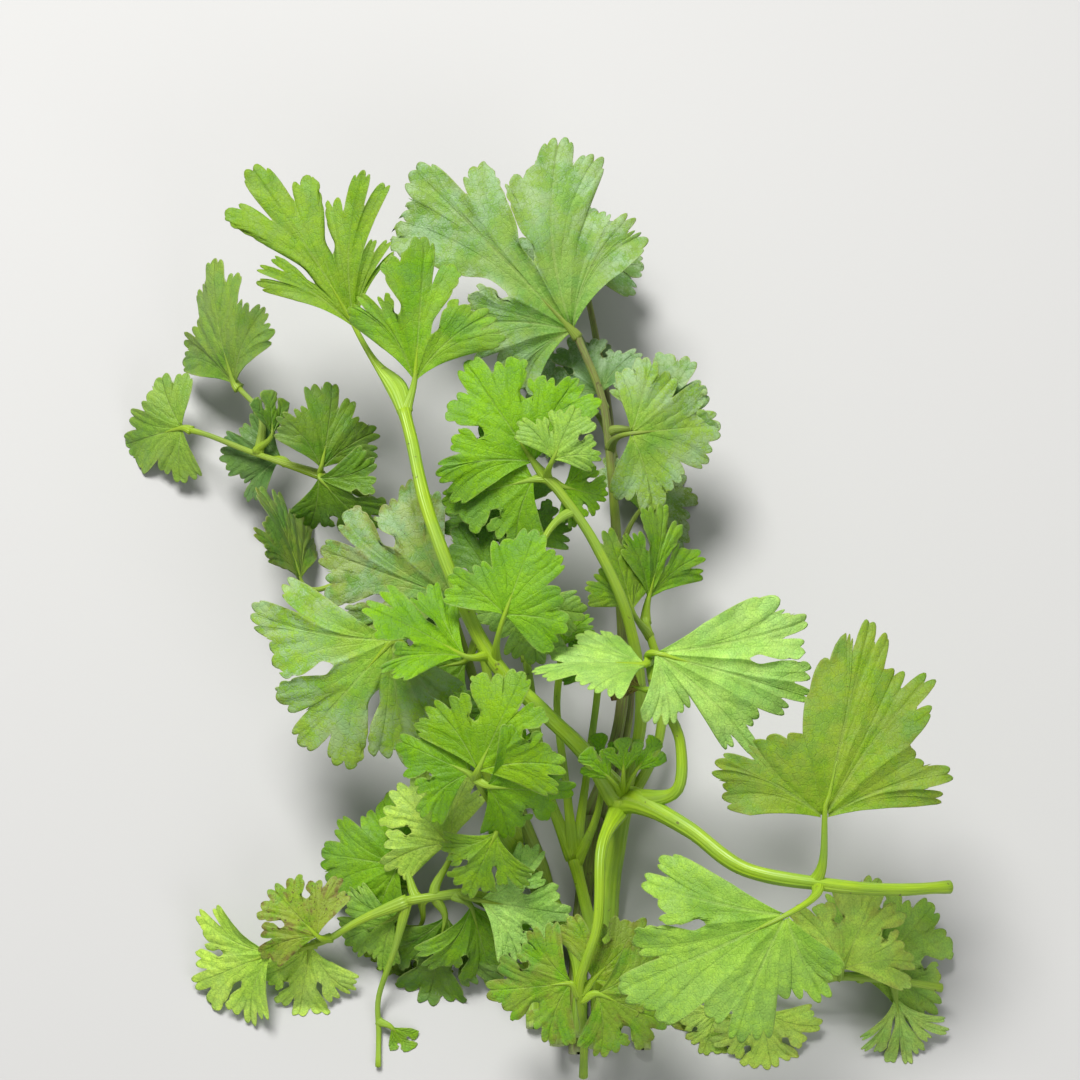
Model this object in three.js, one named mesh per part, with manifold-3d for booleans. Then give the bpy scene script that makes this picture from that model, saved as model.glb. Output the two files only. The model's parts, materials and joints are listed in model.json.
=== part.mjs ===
// A bunch of cut coriander lying on a table: several plants laid together, with their cut
// ends at the front and their leaves spread in a low dome. Millimetres, +Z up, the table at
// z = 0, +Y towards the leafy tips. Each plant is one body: stalk, petioles and thin blades.
import * as THREE from "three";
import { mergeVertices } from "three/addons/utils/BufferGeometryUtils.js";
import Module from "manifold-3d";

const wasm = await Module();
wasm.setup();
const { Manifold, Mesh } = wasm;

// Driving dimensions
const BLADE_THICKNESS = 0.7;
const BLADE_LEAN = 20; // degrees that every blade leans down towards the front
const PETIOLULE_RADIUS = [0.9, 0.7];
const ROOT_DEPTH = 0.06; // share of a blade's length that its little stalk runs into it
const RING_SHARE = 0.55; // where a blade's inner ring of points lies, base 0 to margin 1
const LOWER_REACH = 0.34; // where the lower margins start, as a share of the blade's length
const STALK_SIDES = 6;
const THIN_STALK_SIDES = 5;
const THIN_STALK_RADIUS = 2.5; // stalks that start thinner than this get fewer sides
const BLUNT_LENGTH = 28; // blades longer than this have blunt teeth, shorter ones pointed
const PETIOLULE_SIDES = 3;
const STALK_STEP = 15; // longest straight stretch of a stalk
const TABLE_CLEARANCE = BLADE_THICKNESS / 2;
const WELD_TOLERANCE = 0.15;
const ROOT_STAGGER = 0.012; // share of the stalk's length
const MERGE_DISTANCE = 1e-3;
const ORIGIN_SHIFT = [3.8, 12.4, 0]; // from the layout below to the middle of the bunch
const TABLE_BLOCK = [600, 600, 40]; // larger than the bunch, it cuts off what is below the table
const LEAF_ROUGHNESS = 0.6;

// Teeth, as shares of their lobe's half width: how far apart they stand, how wide half of a
// blunt tip is and that of a bud's one tip. Then how uneven the tips are, and how much shorter
// the outer ones are, as shares of their reach.
const TOOTH_SPACING = 0.68;
const TOOTH_TIP = 0.17;
const BUD_TIP = 0.45;
const TIP_UNEVENNESS = 0.05;
const OUTER_TIP_LOSS = 0.1;

// Petiolules: the longest straight stretch, how much of the stalk's direction they start with,
// and how far they keep that direction and the midrib's, as shares of their own length
const PETIOLULE_STEP = 7;
const STALK_PULL = 0.45;
const LEAVING_SHARE = 0.3;
const ARRIVING_SHARE = 0.35;

// Blade forms. Each lobe is [angle from the midrib, reach, half width], in degrees and as a
// share of the blade's length. Cuts are how deep the cut after each lobe goes, tooth how deep
// the cuts between one lobe's teeth go. Spread is the angle of the two lower margins, and
// gather is how far all angles close up towards the base.
const FORMS = {
  fan: {
    spread: [-104, 104], gather: 0.3, tooth: 0.13, teeth: 3, cuts: [0.44, 0.36],
    lobes: [[-66, 0.84, 31], [0, 1, 30], [66, 0.84, 31]],
  },
  round: {
    spread: [-112, 134], gather: 0.15, tooth: 0.1, teeth: 3, cuts: [0.3, 0.26],
    lobes: [[-74, 0.78, 36], [0, 1, 37], [82, 0.78, 44]],
  },
  wedge: {
    spread: [-82, 82], gather: 0.45, tooth: 0.14, teeth: 3, cuts: [0.46, 0.38],
    lobes: [[-52, 0.84, 24], [0, 1, 24], [52, 0.84, 24]],
  },
  oval: {
    spread: [-88, 88], gather: 0.35, tooth: 0.11, teeth: 3, cuts: [0.14, 0.2],
    lobes: [[-54, 0.78, 26], [-2, 1, 26], [52, 0.82, 28]],
  },
  slit: {
    spread: [-66, 80], gather: 0.6, tooth: 0.2, teeth: 3, cuts: [0.5, 0.5, 0.2],
    lobes: [[-43, 0.64, 15], [-8, 1, 21], [31, 0.83, 18], [66, 0.52, 19]],
  },
  narrow: {
    spread: [-74, 84], gather: 0.5, tooth: 0.13, teeth: 3, cuts: [0.36, 0.54],
    lobes: [[-43, 0.76, 16], [-1, 1, 20], [50, 0.78, 26]],
  },
  broad: {
    spread: [-112, 98], gather: 0.3, tooth: 0.11, teeth: 3, cuts: [0.25, 0.1, 0.14],
    lobes: [[-75, 0.54, 31], [11, 1, 10], [36, 0.84, 15], [76, 0.6, 20]],
  },
  sweep: {
    spread: [-135, 64], gather: 0.2, tooth: 0.1, teeth: 3, cuts: [0.14, 0.18, 0.46],
    lobes: [[-98, 0.52, 30], [-44, 0.8, 19], [0, 1, 20], [40, 0.82, 16]],
  },
  hand: {
    spread: [-52, 118], gather: 0.3, tooth: 0.11, teeth: 3, cuts: [0.42, 0.16, 0.3],
    lobes: [[-22, 0.96, 13], [6, 1, 12], [36, 0.82, 14], [82, 0.46, 28]],
  },
  feather: {
    spread: [-66, 66], gather: 0.6, tooth: 0.3, teeth: 3, cuts: [0.7, 0.7],
    lobes: [[-44, 0.84, 19], [0, 1, 19], [44, 0.84, 19]],
  },
  palm: {
    spread: [-112, 94], gather: 0.2, tooth: 0.16, teeth: 3, cuts: [0.16, 0.6, 0.54],
    lobes: [[-90, 0.6, 20], [-48, 0.86, 21], [3, 1, 27], [62, 0.9, 29]],
  },
  grand: {
    spread: [-154, 118], gather: 0.45, tooth: 0.09, teeth: 3, cuts: [0.14, 0.4, 0.6, 0.14],
    lobes: [[-122, 0.4, 26], [-57, 0.54, 26], [-1, 1, 20], [41, 0.88, 21], [86, 0.62, 20]],
  },
  bud: {
    spread: [-58, 58], gather: 0.3, tooth: 0, teeth: 1, cuts: [0.35, 0.35],
    lobes: [[-36, 0.85, 17], [0, 1, 17], [36, 0.85, 17]],
  },
};

const FRESH_GREEN = 0x6fa83c;
const GREY_GREEN = 0x7fa06c;
const DEEP_GREEN = 0x4e8a34;
const YELLOW_GREEN = 0x9cb850;

// Each plant: its stalks, then its blades.
// A stalk is [name, stalk it grows from, where on it (0 to 1), start radius, end radius, points].
// A blade is [stalk, where on it, base point, turn, pitch, roll, length, form, across, along].
// Turn is clockwise from +Y seen from above, pitch lifts the tip, roll lowers the right side,
// and across and along are the degrees that the blade bends downward each way.
const PLANTS = [
  {
    name: "shoot_main", colour: FRESH_GREEN,
    stalks: [
      ["trunk", null, 0, 2.7, 2.7, [[14, -119, 13], [15, -100, 16], [16, -82, 21], [18, -70, 28],
        [19, -64, 32]]],
      ["left_stem", "trunk", 0.97, 2, 1.4, [[10, -55, 39], [1, -47, 43], [-10, -37, 48], [-18, -23, 53],
        [-26, -2, 56], [-30, 16, 54], [-32, 24, 53]]],
      ["right_stem", "trunk", 0.97, 2, 1.3, [[23, -66, 35], [34, -74, 41], [46, -84, 45], [64, -88, 47],
        [79, -88, 42], [93, -86, 36]]],
      ["front_stem", "trunk", 0.9, 1.4, 0.9, [[14, -78, 40], [13, -95, 38], [9, -107, 31], [10, -116, 22],
        [10, -125, 12]]],
      ["curved_stem", "right_stem", 0.12, 1.4, 1.1, [[31, -65, 41], [32, -55, 45], [29, -48, 48],
        [26, -43, 50], [25, -36, 52]]],
    ],
    blades: [
      ["left_stem", 1, [-44, 46, 51], -25, 8, 0, 45, "slit", 12, 14],
      ["left_stem", 1, [-29.5, 31, 54], 5, 8, 0, 33, "narrow", 16, 20],
      ["left_stem", 0.46, [-8, -28.5, 59], 20, 4, 0, 20, "round", 14, 14],
      ["left_stem", 0.46, [-17, -37, 54], -58, 10, 34, 26, "narrow", 10, 16],
      ["right_stem", 0.66, [63, -75, 56], 3, 8, 0, 48, "broad", 20, 28],
      ["right_stem", 0.68, [54, -96.5, 55], -116, 2, 0, 40, "sweep", 18, 24],
      ["curved_stem", 1, [26, -37, 57], 100, 4, 0, 38, "hand", 16, 20],
      ["curved_stem", 1, [24, -39, 54], -82, 4, 66, 26, "oval", 16, 16],
      ["curved_stem", 0.8, [23, -44, 52], -70, -10, 0, 9, "bud", 30, 30],
      ["front_stem", 0.66, [7, -107, 32], -98, 0, -8, 19, "fan", 12, 16],
      ["front_stem", 0.66, [12, -106, 30], 46, -2, 0, 18, "fan", 12, 14],
      ["front_stem", 0.7, [13, -109, 30], 116, -2, 6, 19, "fan", 14, 18],
      ["trunk", 0.98, [19, -61, 43], 0, 25, 10, 9, "bud", 40, 10],
      ["trunk", 0.98, [22, -60, 41], 36, 4, 10, 9, "bud", 30, 30],
      ["trunk", 0.98, [16, -62, 41], -44, 20, -10, 9, "bud", 40, 10],
    ],
  },
  {
    name: "shoot_tall", colour: GREY_GREEN,
    stalks: [
      ["trunk", null, 0, 2.3, 2.1, [[9, -118, 1.7], [9, -98, 1.6], [11, -76, 3.2], [13, -62, 5]]],
      ["long_stem", "trunk", 1, 1.6, 0.9, [[20, -34, 10], [19, -1, 18], [17, 26, 24], [15, 39, 27],
        [9, 54, 30]]],
      ["back_stem", "trunk", 0.96, 1.3, 0.8, [[20, -45, 4], [22, -25, 4], [19, 2, 6], [18, 36, 9],
        [14, 62, 13], [11, 76, 16]]],
    ],
    blades: [
      ["long_stem", 1, [8, 54.5, 31], -43, 6, 0, 55, "grand", 18, 22],
      ["long_stem", 0.62, [22, 26, 34], 84, -4, 0, 24, "round", 12, 18],
      ["long_stem", 0.68, [27, 30, 30], 32, 10, -6, 19, "fan", 16, 16],
      ["long_stem", 0.76, [15, 42, 21], -24, -14, 0, 18, "fan", 20, 20],
      ["back_stem", 1, [9.5, 79, 18], 8, -30, 0, 23, "round", 20, 30],
      ["back_stem", 0.67, [12, 44, 9], -64, -20, 0, 22, "fan", 20, 24],
      ["back_stem", 0.5, [25, 16, 8], 46, -28, 0, 20, "round", 20, 26],
    ],
  },
  {
    name: "shoot_middle", colour: FRESH_GREEN,
    stalks: [
      ["trunk", null, 0, 2.2, 2, [[14.3, -116, 1.7], [14.3, -98, 1.7], [17, -80, 5], [18, -64, 9]]],
      ["long_stem", "trunk", 1, 1.6, 1.1, [[24, -42, 20], [21, -22, 34], [13, -5, 41], [5, 6, 45],
        [1.3, 10, 46]]],
      ["side_stem", "trunk", 1, 1.3, 1, [[28, -47, 13], [29, -30, 16], [25, -17, 22]]],
    ],
    blades: [
      ["long_stem", 1, [-1.5, 13, 48], -34, 6, 0, 28, "fan", 18, 18],
      ["long_stem", 1, [-1.5, 9.5, 46], -104, -2, 0, 23, "fan", 16, 20],
      ["long_stem", 1, [3, 12, 52], 24, 10, 0, 14, "fan", 16, 20],
      ["long_stem", 0.96, [5.5, 8, 45], 104, -6, 0, 12, "fan", 16, 20],
      ["long_stem", 0.74, [-2, -20, 44], 176, -6, 0, 17, "round", 14, 22],
      ["side_stem", 1, [26, -13, 24], 16, 4, 34, 24, "narrow", 14, 18],
      ["side_stem", 0.9, [22, -17, 28], -14, 8, 44, 20, "oval", 20, 10],
    ],
  },
  {
    name: "shoot_left", colour: DEEP_GREEN,
    stalks: [
      ["trunk", null, 0, 1.9, 1.7, [[3.6, -114, 1.4], [3.4, -95, 1.3], [1, -76, 2.2], [-6, -58, 3]]],
      ["long_stem", "trunk", 1, 1.3, 0.9, [[-19, -19, 6], [-28, 7, 11], [-38, 13, 17], [-47, 17, 21],
        [-54, 20, 22]]],
      ["far_stem", "long_stem", 0.98, 0.8, 0.65, [[-71, 27, 19], [-82, 33, 15], [-88, 36, 12]]],
      ["upper_stem", "far_stem", 0.3, 0.75, 0.6, [[-69, 36, 21], [-75, 44, 20]]],
    ],
    blades: [
      ["long_stem", 1, [-53.5, 20.5, 25], 14, 6, 24, 22, "oval", 24, 26],
      ["long_stem", 0.96, [-54, 18, 25], 138, 0, 26, 19, "fan", 30, 24],
      ["far_stem", 1, [-90, 37, 11], -104, -16, 0, 19, "round", 20, 30],
      ["upper_stem", 1, [-76, 45, 20], -20, 8, -50, 31, "oval", 20, 30],
      ["far_stem", 0.34, [-66, 30, 23], 2, 8, 46, 12, "bud", 10, 20],
      ["far_stem", 0.2, [-64, 26, 18], -84, -12, 0, 18, "oval", 16, 24],
      ["long_stem", 0.4, [-59, -4, 12], -12, 0, 72, 27, "oval", 10, 20],
    ],
  },
  {
    name: "shoot_broad", colour: GREY_GREEN,
    stalks: [
      ["trunk", null, 0, 1.8, 1.6, [[4, -117, 6.4], [4, -98, 6.6], [0, -82, 8], [-6, -70, 11]]],
      ["upper_stem", "trunk", 1, 1.4, 1.1, [[-17, -47, 24], [-26, -35, 35], [-32, -31, 42]]],
      ["low_stem", "trunk", 1, 1.3, 1, [[-8, -50, 12], [-12, -32, 14], [-16, -17, 20], [-19, -14, 26]]],
    ],
    blades: [
      ["upper_stem", 1, [-34, -29.5, 44], -141, 2, 0, 36, "palm", 20, 26],
      ["low_stem", 1, [-20, -14, 27], -70, 4, 0, 37, "wedge", 16, 24],
      ["low_stem", 0.7, [-18, -26, 15], -100, -12, 0, 24, "fan", 20, 26],
      ["low_stem", 0.5, [-18, -38, 13], -126, -14, 0, 22, "fan", 20, 26],
    ],
  },
  {
    name: "shoot_centre", colour: FRESH_GREEN,
    stalks: [
      ["trunk", null, 0, 1.8, 1.5, [[9, -115, 6.8], [9, -98, 8], [3, -84, 12], [-4, -76, 17]]],
      ["upper_stem", "trunk", 1, 1.3, 0.8, [[-9, -71, 27], [-11, -67, 36], [-13, -65, 42],
        [-14.5, -63, 45]]],
    ],
    blades: [
      ["upper_stem", 1, [-14, -62, 48], 24, 10, -6, 24, "fan", 20, 16],
      ["upper_stem", 1, [-12, -65, 46], 98, -6, 24, 20, "fan", 30, 16],
      ["upper_stem", 1, [-16, -62, 46], -66, 0, 0, 18, "fan", 16, 20],
      ["upper_stem", 0.34, [-10, -73, 35], -156, -8, 0, 18, "wedge", 20, 26],
    ],
  },
  {
    name: "shoot_front", colour: YELLOW_GREEN,
    stalks: [
      ["trunk", null, 0, 1.9, 1.6, [[-1.4, -112, 1.4], [-2, -99, 1.6], [-5, -90, 6], [-9, -85, 9]]],
      ["leafy_stem", "trunk", 1, 1.3, 1, [[-17, -83, 15], [-24, -84, 17], [-31, -85, 17]]],
      ["far_stem", "leafy_stem", 1, 0.95, 0.75, [[-42, -89, 14], [-50, -93, 11], [-57, -95, 10]]],
      ["hanging_stem", "leafy_stem", 1, 0.75, 0.6, [[-34, -95, 11], [-38, -105, 4], [-38, -113, 1.2],
        [-38, -121, 1.2]]],
    ],
    blades: [
      ["leafy_stem", 0.7, [-21, -72, 20], -46, 4, 0, 20, "fan", 20, 20],
      ["leafy_stem", 0.9, [-33, -76, 15], -84, -8, 0, 22, "round", 26, 34],
      ["leafy_stem", 0.95, [-31, -80, 10], -90, -14, 0, 16, "fan", 20, 26],
      ["leafy_stem", 0.5, [-16, -86, 17], 166, -8, 0, 23, "wedge", 16, 26],
      ["leafy_stem", 0.7, [-22, -88, 14], 192, -12, 0, 26, "wedge", 16, 24],
      ["leafy_stem", 0.85, [-28, -89, 9], 216, -16, 0, 19, "wedge", 16, 26],
      ["leafy_stem", 0.4, [-14, -86, 22], 100, 0, 0, 22, "wedge", 16, 22],
      ["leafy_stem", 1, [-34, -88, 12], -114, -14, 0, 17, "oval", 16, 26],
      ["far_stem", 0.66, [-52, -93, 15], -44, 2, 0, 17, "fan", 16, 24],
      ["far_stem", 1, [-63, -96, 11], -114, -8, 0, 23, "wedge", 16, 20],
      ["far_stem", 0.8, [-54, -94, 10], -170, -10, 0, 20, "wedge", 16, 20],
      ["hanging_stem", 0.7, [-35, -112, 2.6], 142, -14, 0, 8, "bud", 16, 10],
    ],
  },
  {
    name: "shoot_right", colour: YELLOW_GREEN,
    stalks: [
      ["trunk", null, 0, 1.9, 1.6, [[24.2, -117, 1.4], [24.4, -105, 1.6], [30, -98, 4], [38, -97, 5]]],
      ["right_stem", "trunk", 1, 1.4, 0.9, [[59, -103, 9], [70, -102, 13], [84, -103, 12], [94, -104, 9]]],
      ["front_stem", "trunk", 0.9, 1.2, 1, [[42, -106, 4], [50, -108, 5]]],
    ],
    blades: [
      ["right_stem", 0.5, [70, -101, 17], 24, 2, 0, 22, "fan", 20, 24],
      ["right_stem", 0.6, [76, -102, 10], 48, -14, 0, 26, "fan", 16, 20],
      ["right_stem", 0.75, [83, -106, 10], 168, -12, 0, 19, "feather", 10, 16],
      ["front_stem", 1, [52, -109, 7], 170, -10, 0, 17, "fan", 16, 14],
      ["front_stem", 0.7, [42, -108, 5], 198, -10, 0, 13, "fan", 16, 10],
      ["front_stem", 0.2, [36, -105, 4], 200, -10, 0, 9, "bud", 16, 10],
    ],
  },
  {
    name: "shoot_inner", colour: DEEP_GREEN,
    stalks: [
      ["trunk", null, 0, 1.4, 1.4, [[14.2, -113, 6.8], [14.4, -99, 7.4], [11, -86, 12], [8, -75, 17]]],
      ["first_stem", "trunk", 1, 1, 0.8, [[6, -58, 24], [4, -42, 29], [5, -30, 31]]],
      ["second_stem", "trunk", 0.98, 1, 0.8, [[11, -56, 22], [13, -42, 26], [14, -34, 29]]],
      ["third_stem", "trunk", 1, 1.2, 0.9, [[2, -60, 20], [-1, -44, 23], [-4, -24, 26], [-8, -4, 27]]],
      ["short_stem", "trunk", 0.96, 0.9, 0.7, [[13, -67, 23], [15, -58, 28]]],
    ],
    blades: [
      ["first_stem", 1, [5, -28, 33], -20, -4, 0, 12, "fan", 20, 20],
      ["second_stem", 1, [13, -34, 29], -20, -4, 0, 11, "fan", 20, 20],
      ["short_stem", 1, [15, -57, 29], -10, 4, 0, 9, "bud", 20, 20],
      ["third_stem", 0.7, [-9, -14, 32], -34, 0, 0, 19, "fan", 18, 20],
      ["third_stem", 1, [-8, -1, 29], 8, -6, 0, 21, "fan", 18, 22],
      ["third_stem", 0.5, [-7, -42, 23], -126, -4, 0, 15, "fan", 18, 22],
    ],
  },
];

const radians = THREE.MathUtils.degToRad;

function toSolid(geometry) {
  geometry.deleteAttribute("normal");
  geometry.deleteAttribute("uv");
  const merged = mergeVertices(geometry, MERGE_DISTANCE);
  return new Manifold(new Mesh({
    numProp: 3,
    vertProperties: Float32Array.from(merged.attributes.position.array),
    triVerts: Uint32Array.from(merged.index.array),
  }));
}

// The one body of a union, without loose scraps and sealed pockets.
function largestBody(solid) {
  return solid.decompose().sort((a, b) => b.volume() - a.volume())[0];
}

function toGeometry(solid) {
  const mesh = solid.getMesh();
  const geometry = new THREE.BufferGeometry();
  geometry.setAttribute("position", new THREE.BufferAttribute(mesh.vertProperties, 3));
  geometry.setIndex(new THREE.BufferAttribute(mesh.triVerts, 1));
  geometry.computeVertexNormals();
  return geometry;
}

// A tapered round stalk: a cylinder bent along a curve, its frame carried along without twist.
function stalkSolid(curve, startRadius, endRadius, sides, steps) {
  const geometry = new THREE.CylinderGeometry(1, 1, 1, sides, steps);
  const frames = [];
  let across = new THREE.Vector3(0, 0, 1);
  for (let i = 0; i <= steps; i += 1) {
    const tangent = curve.getTangent(i / steps);
    across = across.clone().addScaledVector(tangent, -across.dot(tangent)).normalize();
    frames.push({ centre: curve.getPoint(i / steps), across, other: across.clone().cross(tangent) });
  }
  const position = geometry.attributes.position;
  for (let i = 0; i < position.count; i += 1) {
    const t = position.getY(i) + 0.5;
    const frame = frames[Math.round(t * steps)];
    const radius = THREE.MathUtils.lerp(startRadius, endRadius, t);
    const point = frame.centre.clone()
      .addScaledVector(frame.across, position.getX(i) * radius)
      .addScaledVector(frame.other, position.getZ(i) * radius);
    position.setXYZ(i, point.x, point.y, point.z);
  }
  return toSolid(geometry);
}

// The margin of a blade as [angle, reach] pairs round its base: blunt teeth on each lobe,
// shallow cuts between them and deep ones between the lobes.
function marginPoints(form, length, seed) {
  const points = [[form.spread[0], length * LOWER_REACH]];
  form.lobes.forEach(([centre, reach, halfWidth], lobe) => {
    const toothStep = form.teeth === 1 ? 0 : halfWidth * TOOTH_SPACING;
    const tipWidth = halfWidth * (form.teeth === 1 ? BUD_TIP : TOOTH_TIP);
    for (let tooth = 0; tooth < form.teeth; tooth += 1) {
      const side = tooth - (form.teeth - 1) / 2;
      const wobble = 1 + TIP_UNEVENNESS * Math.sin(seed * 7.1 + lobe * 2.3 + tooth * 4.7);
      const tip = length * reach * wobble * (1 - OUTER_TIP_LOSS * Math.abs(side));
      const angle = centre + side * toothStep;
      if (tooth > 0) points.push([angle - toothStep / 2, tip * (1 - form.tooth)]);
      if (length > BLUNT_LENGTH) points.push([angle - tipWidth, tip], [angle + tipWidth, tip]);
      else points.push([angle, tip]);
    }
    const next = form.lobes[lobe + 1];
    if (next) {
      const cut = (centre + halfWidth + next[0] - next[2]) / 2;
      points.push([cut, length * Math.min(reach, next[1]) * (1 - form.cuts[lobe])]);
    }
  });
  points.push([form.spread[1], length * LOWER_REACH]);
  return points;
}

// The inner ring: one point under each lobe, each deep cut and each lower margin.
function ringPoints(form, length) {
  const points = [[form.spread[0], length * LOWER_REACH * RING_SHARE]];
  form.lobes.forEach(([centre, reach, halfWidth], lobe) => {
    points.push([centre, length * reach * RING_SHARE]);
    const next = form.lobes[lobe + 1];
    if (next) {
      const cut = (centre + halfWidth + next[0] - next[2]) / 2;
      points.push([cut, length * Math.min(reach, next[1]) * (1 - form.cuts[lobe]) * RING_SHARE]);
    }
  });
  points.push([form.spread[1], length * LOWER_REACH * RING_SHARE]);
  return points;
}

// Bends a flat blade point (right of the midrib, along the midrib) out of its plane.
function bendPoint(right, forward, length, across, along) {
  const sideways = radians(across) / length;
  const lengthways = radians(along) / length;
  const x = sideways ? Math.sin(sideways * right) / sideways : right;
  const sag = sideways ? (Math.cos(sideways * right) - 1) / sideways : 0;
  const angle = lengthways * forward;
  const y = lengthways ? Math.sin(angle) / lengthways : forward;
  const droop = lengthways ? (Math.cos(angle) - 1) / lengthways : 0;
  return new THREE.Vector3(x, y + sag * Math.sin(angle), droop + sag * Math.cos(angle));
}

function bladeMatrix(base, turn, pitch, roll) {
  return new THREE.Matrix4().makeTranslation(base[0], base[1], base[2])
    .multiply(new THREE.Matrix4().makeRotationX(radians(BLADE_LEAN)))
    .multiply(new THREE.Matrix4().makeRotationZ(radians(-turn)))
    .multiply(new THREE.Matrix4().makeRotationX(radians(pitch)))
    .multiply(new THREE.Matrix4().makeRotationY(radians(roll)));
}

// The two faces' points at one place of the blade. A blade that would pass through the table
// lies flat on it instead.
function facePoints(right, forward, blade, matrix) {
  const at = (r, f) => bendPoint(r, f, blade.length, blade.across, blade.along).applyMatrix4(matrix);
  const centre = at(right, forward);
  const rightward = at(right + 0.1, forward).sub(centre);
  const outward = at(right, forward + 0.1).sub(centre);
  const normal = rightward.cross(outward).normalize();
  if (centre.z < TABLE_CLEARANCE) {
    centre.z = TABLE_CLEARANCE;
    normal.set(0, 0, 1);
  }
  const half = normal.multiplyScalar(BLADE_THICKNESS / 2);
  return [centre.clone().add(half), centre.clone().sub(half)];
}

// Triangles between two runs of points that are both in order of angle round the base.
function stitch(inner, outer, innerStart, outerStart) {
  const triangles = [];
  let i = 0;
  let o = 0;
  while (i < inner.length - 1 || o < outer.length - 1) {
    const innerNext = i < inner.length - 1 ? inner[i + 1][0] : Infinity;
    const outerNext = o < outer.length - 1 ? outer[o + 1][0] : Infinity;
    if (outerNext <= innerNext) {
      triangles.push([innerStart + i, outerStart + o + 1, outerStart + o]);
      o += 1;
    } else {
      triangles.push([innerStart + i, innerStart + i + 1, outerStart + o]);
      i += 1;
    }
  }
  return triangles;
}

function bladeSolid(blade, seed) {
  const form = FORMS[blade.form];
  const margin = marginPoints(form, blade.length, seed);
  const ring = ringPoints(form, blade.length);
  const matrix = bladeMatrix(blade.base, blade.turn, blade.pitch, blade.roll);
  const place = ([angle, reach]) => {
    const gathered = radians(angle * (1 - form.gather * Math.max(0, 1 - reach / blade.length)));
    return facePoints(reach * Math.sin(gathered), reach * Math.cos(gathered), blade, matrix);
  };
  const faces = [
    facePoints(0, 0, blade, matrix),
    ...ring.map(place),
    ...margin.map(place),
  ];
  const marginStart = 1 + ring.length;
  const upper = stitch(ring, margin, 1, marginStart);
  for (let i = 0; i < ring.length - 1; i += 1) upper.push([0, i + 2, i + 1]);
  const rim = [0, 1, ...margin.map((_, i) => marginStart + i), ring.length];
  const index = [];
  for (const [a, b, c] of upper) index.push(2 * a, 2 * b, 2 * c, 2 * a + 1, 2 * c + 1, 2 * b + 1);
  rim.forEach((a, i) => {
    const b = rim[(i + 1) % rim.length];
    index.push(2 * a, 2 * b, 2 * b + 1, 2 * a, 2 * b + 1, 2 * a + 1);
  });
  const geometry = new THREE.BufferGeometry();
  const numbers = faces.flatMap(([top, bottom]) => [...top.toArray(), ...bottom.toArray()]);
  geometry.setAttribute("position", new THREE.Float32BufferAttribute(numbers, 3));
  geometry.setIndex(index);
  return toSolid(geometry);
}

// The little stalk from a stalk to a blade's base, arriving in line with the midrib. Its root
// lies a little back along the stalk, at one of three places, so that no two roots coincide.
function petioluleSolid(curve, where, blade, number) {
  const rootAt = where - ROOT_STAGGER * (1 + (number % 3));
  const start = curve.getPoint(rootAt);
  const base = new THREE.Vector3(...blade.base);
  const matrix = bladeMatrix(blade.base, blade.turn, blade.pitch, blade.roll);
  const inside = new THREE.Vector3(0, blade.length * ROOT_DEPTH, 0).applyMatrix4(matrix);
  const reach = start.distanceTo(base);
  if (reach < 1) return null;
  const arrival = inside.clone().sub(base).normalize();
  const straight = base.clone().sub(start).normalize();
  const leaving = straight.lerp(curve.getTangent(rootAt), STALK_PULL).normalize();
  const bezier = new THREE.CubicBezierCurve3(
    start,
    start.clone().addScaledVector(leaving, reach * LEAVING_SHARE),
    base.clone().addScaledVector(arrival, -reach * ARRIVING_SHARE),
    inside,
  );
  const steps = Math.max(2, Math.ceil(reach / PETIOLULE_STEP));
  return stalkSolid(bezier, PETIOLULE_RADIUS[0], PETIOLULE_RADIUS[1], PETIOLULE_SIDES, steps);
}

function stalkCurves(plant) {
  const curves = {};
  for (const [name, parent, where, , , points] of plant.stalks) {
    const path = points.map((point) => new THREE.Vector3(...point));
    if (parent) path.unshift(curves[parent].getPoint(where));
    curves[name] = new THREE.CatmullRomCurve3(path, false, "catmullrom", 0.5);
  }
  return curves;
}

function belowTable() {
  const block = new THREE.BoxGeometry(...TABLE_BLOCK);
  block.translate(0, 0, -TABLE_BLOCK[2] / 2);
  return toSolid(block);
}

function plantSolid(plant, plantNumber) {
  const curves = stalkCurves(plant);
  const solids = plant.stalks.map(([name, , , startRadius, endRadius]) => {
    const steps = Math.max(3, Math.ceil(curves[name].getLength() / STALK_STEP));
    const sides = startRadius < THIN_STALK_RADIUS ? THIN_STALK_SIDES : STALK_SIDES;
    return stalkSolid(curves[name], startRadius, endRadius, sides, steps);
  });
  plant.blades.forEach(([stalk, where, base, turn, pitch, roll, length, form, across, along], i) => {
    const blade = { base, turn, pitch, roll, length, form, across, along };
    solids.push(bladeSolid(blade, plantNumber * 20 + i));
    const petiolule = petioluleSolid(curves[stalk], where, blade, i);
    if (petiolule) solids.push(petiolule);
  });
  const fused = Manifold.union(solids).subtract(belowTable()).simplify(WELD_TOLERANCE);
  return largestBody(toSolid(toGeometry(largestBody(fused)))).translate(ORIGIN_SHIFT);
}

function plantMesh(plant, plantNumber) {
  const finish = { color: plant.colour, roughness: LEAF_ROUGHNESS, metalness: 0 };
  const material = new THREE.MeshStandardMaterial(finish);
  const mesh = new THREE.Mesh(toGeometry(plantSolid(plant, plantNumber)), material);
  mesh.name = plant.name;
  return mesh;
}

const bunch = new THREE.Group();
PLANTS.forEach((plant, i) => bunch.add(plantMesh(plant, i)));

export default bunch;
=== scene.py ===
# Coriander bunch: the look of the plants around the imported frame. Fine toothed blades with
# veins and relief, ribbed stalks, a pale floor, soft light and the camera.
import json
import math
from collections import namedtuple
from types import SimpleNamespace
import bpy
import numpy as np
from mathutils import Matrix, Vector

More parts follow.
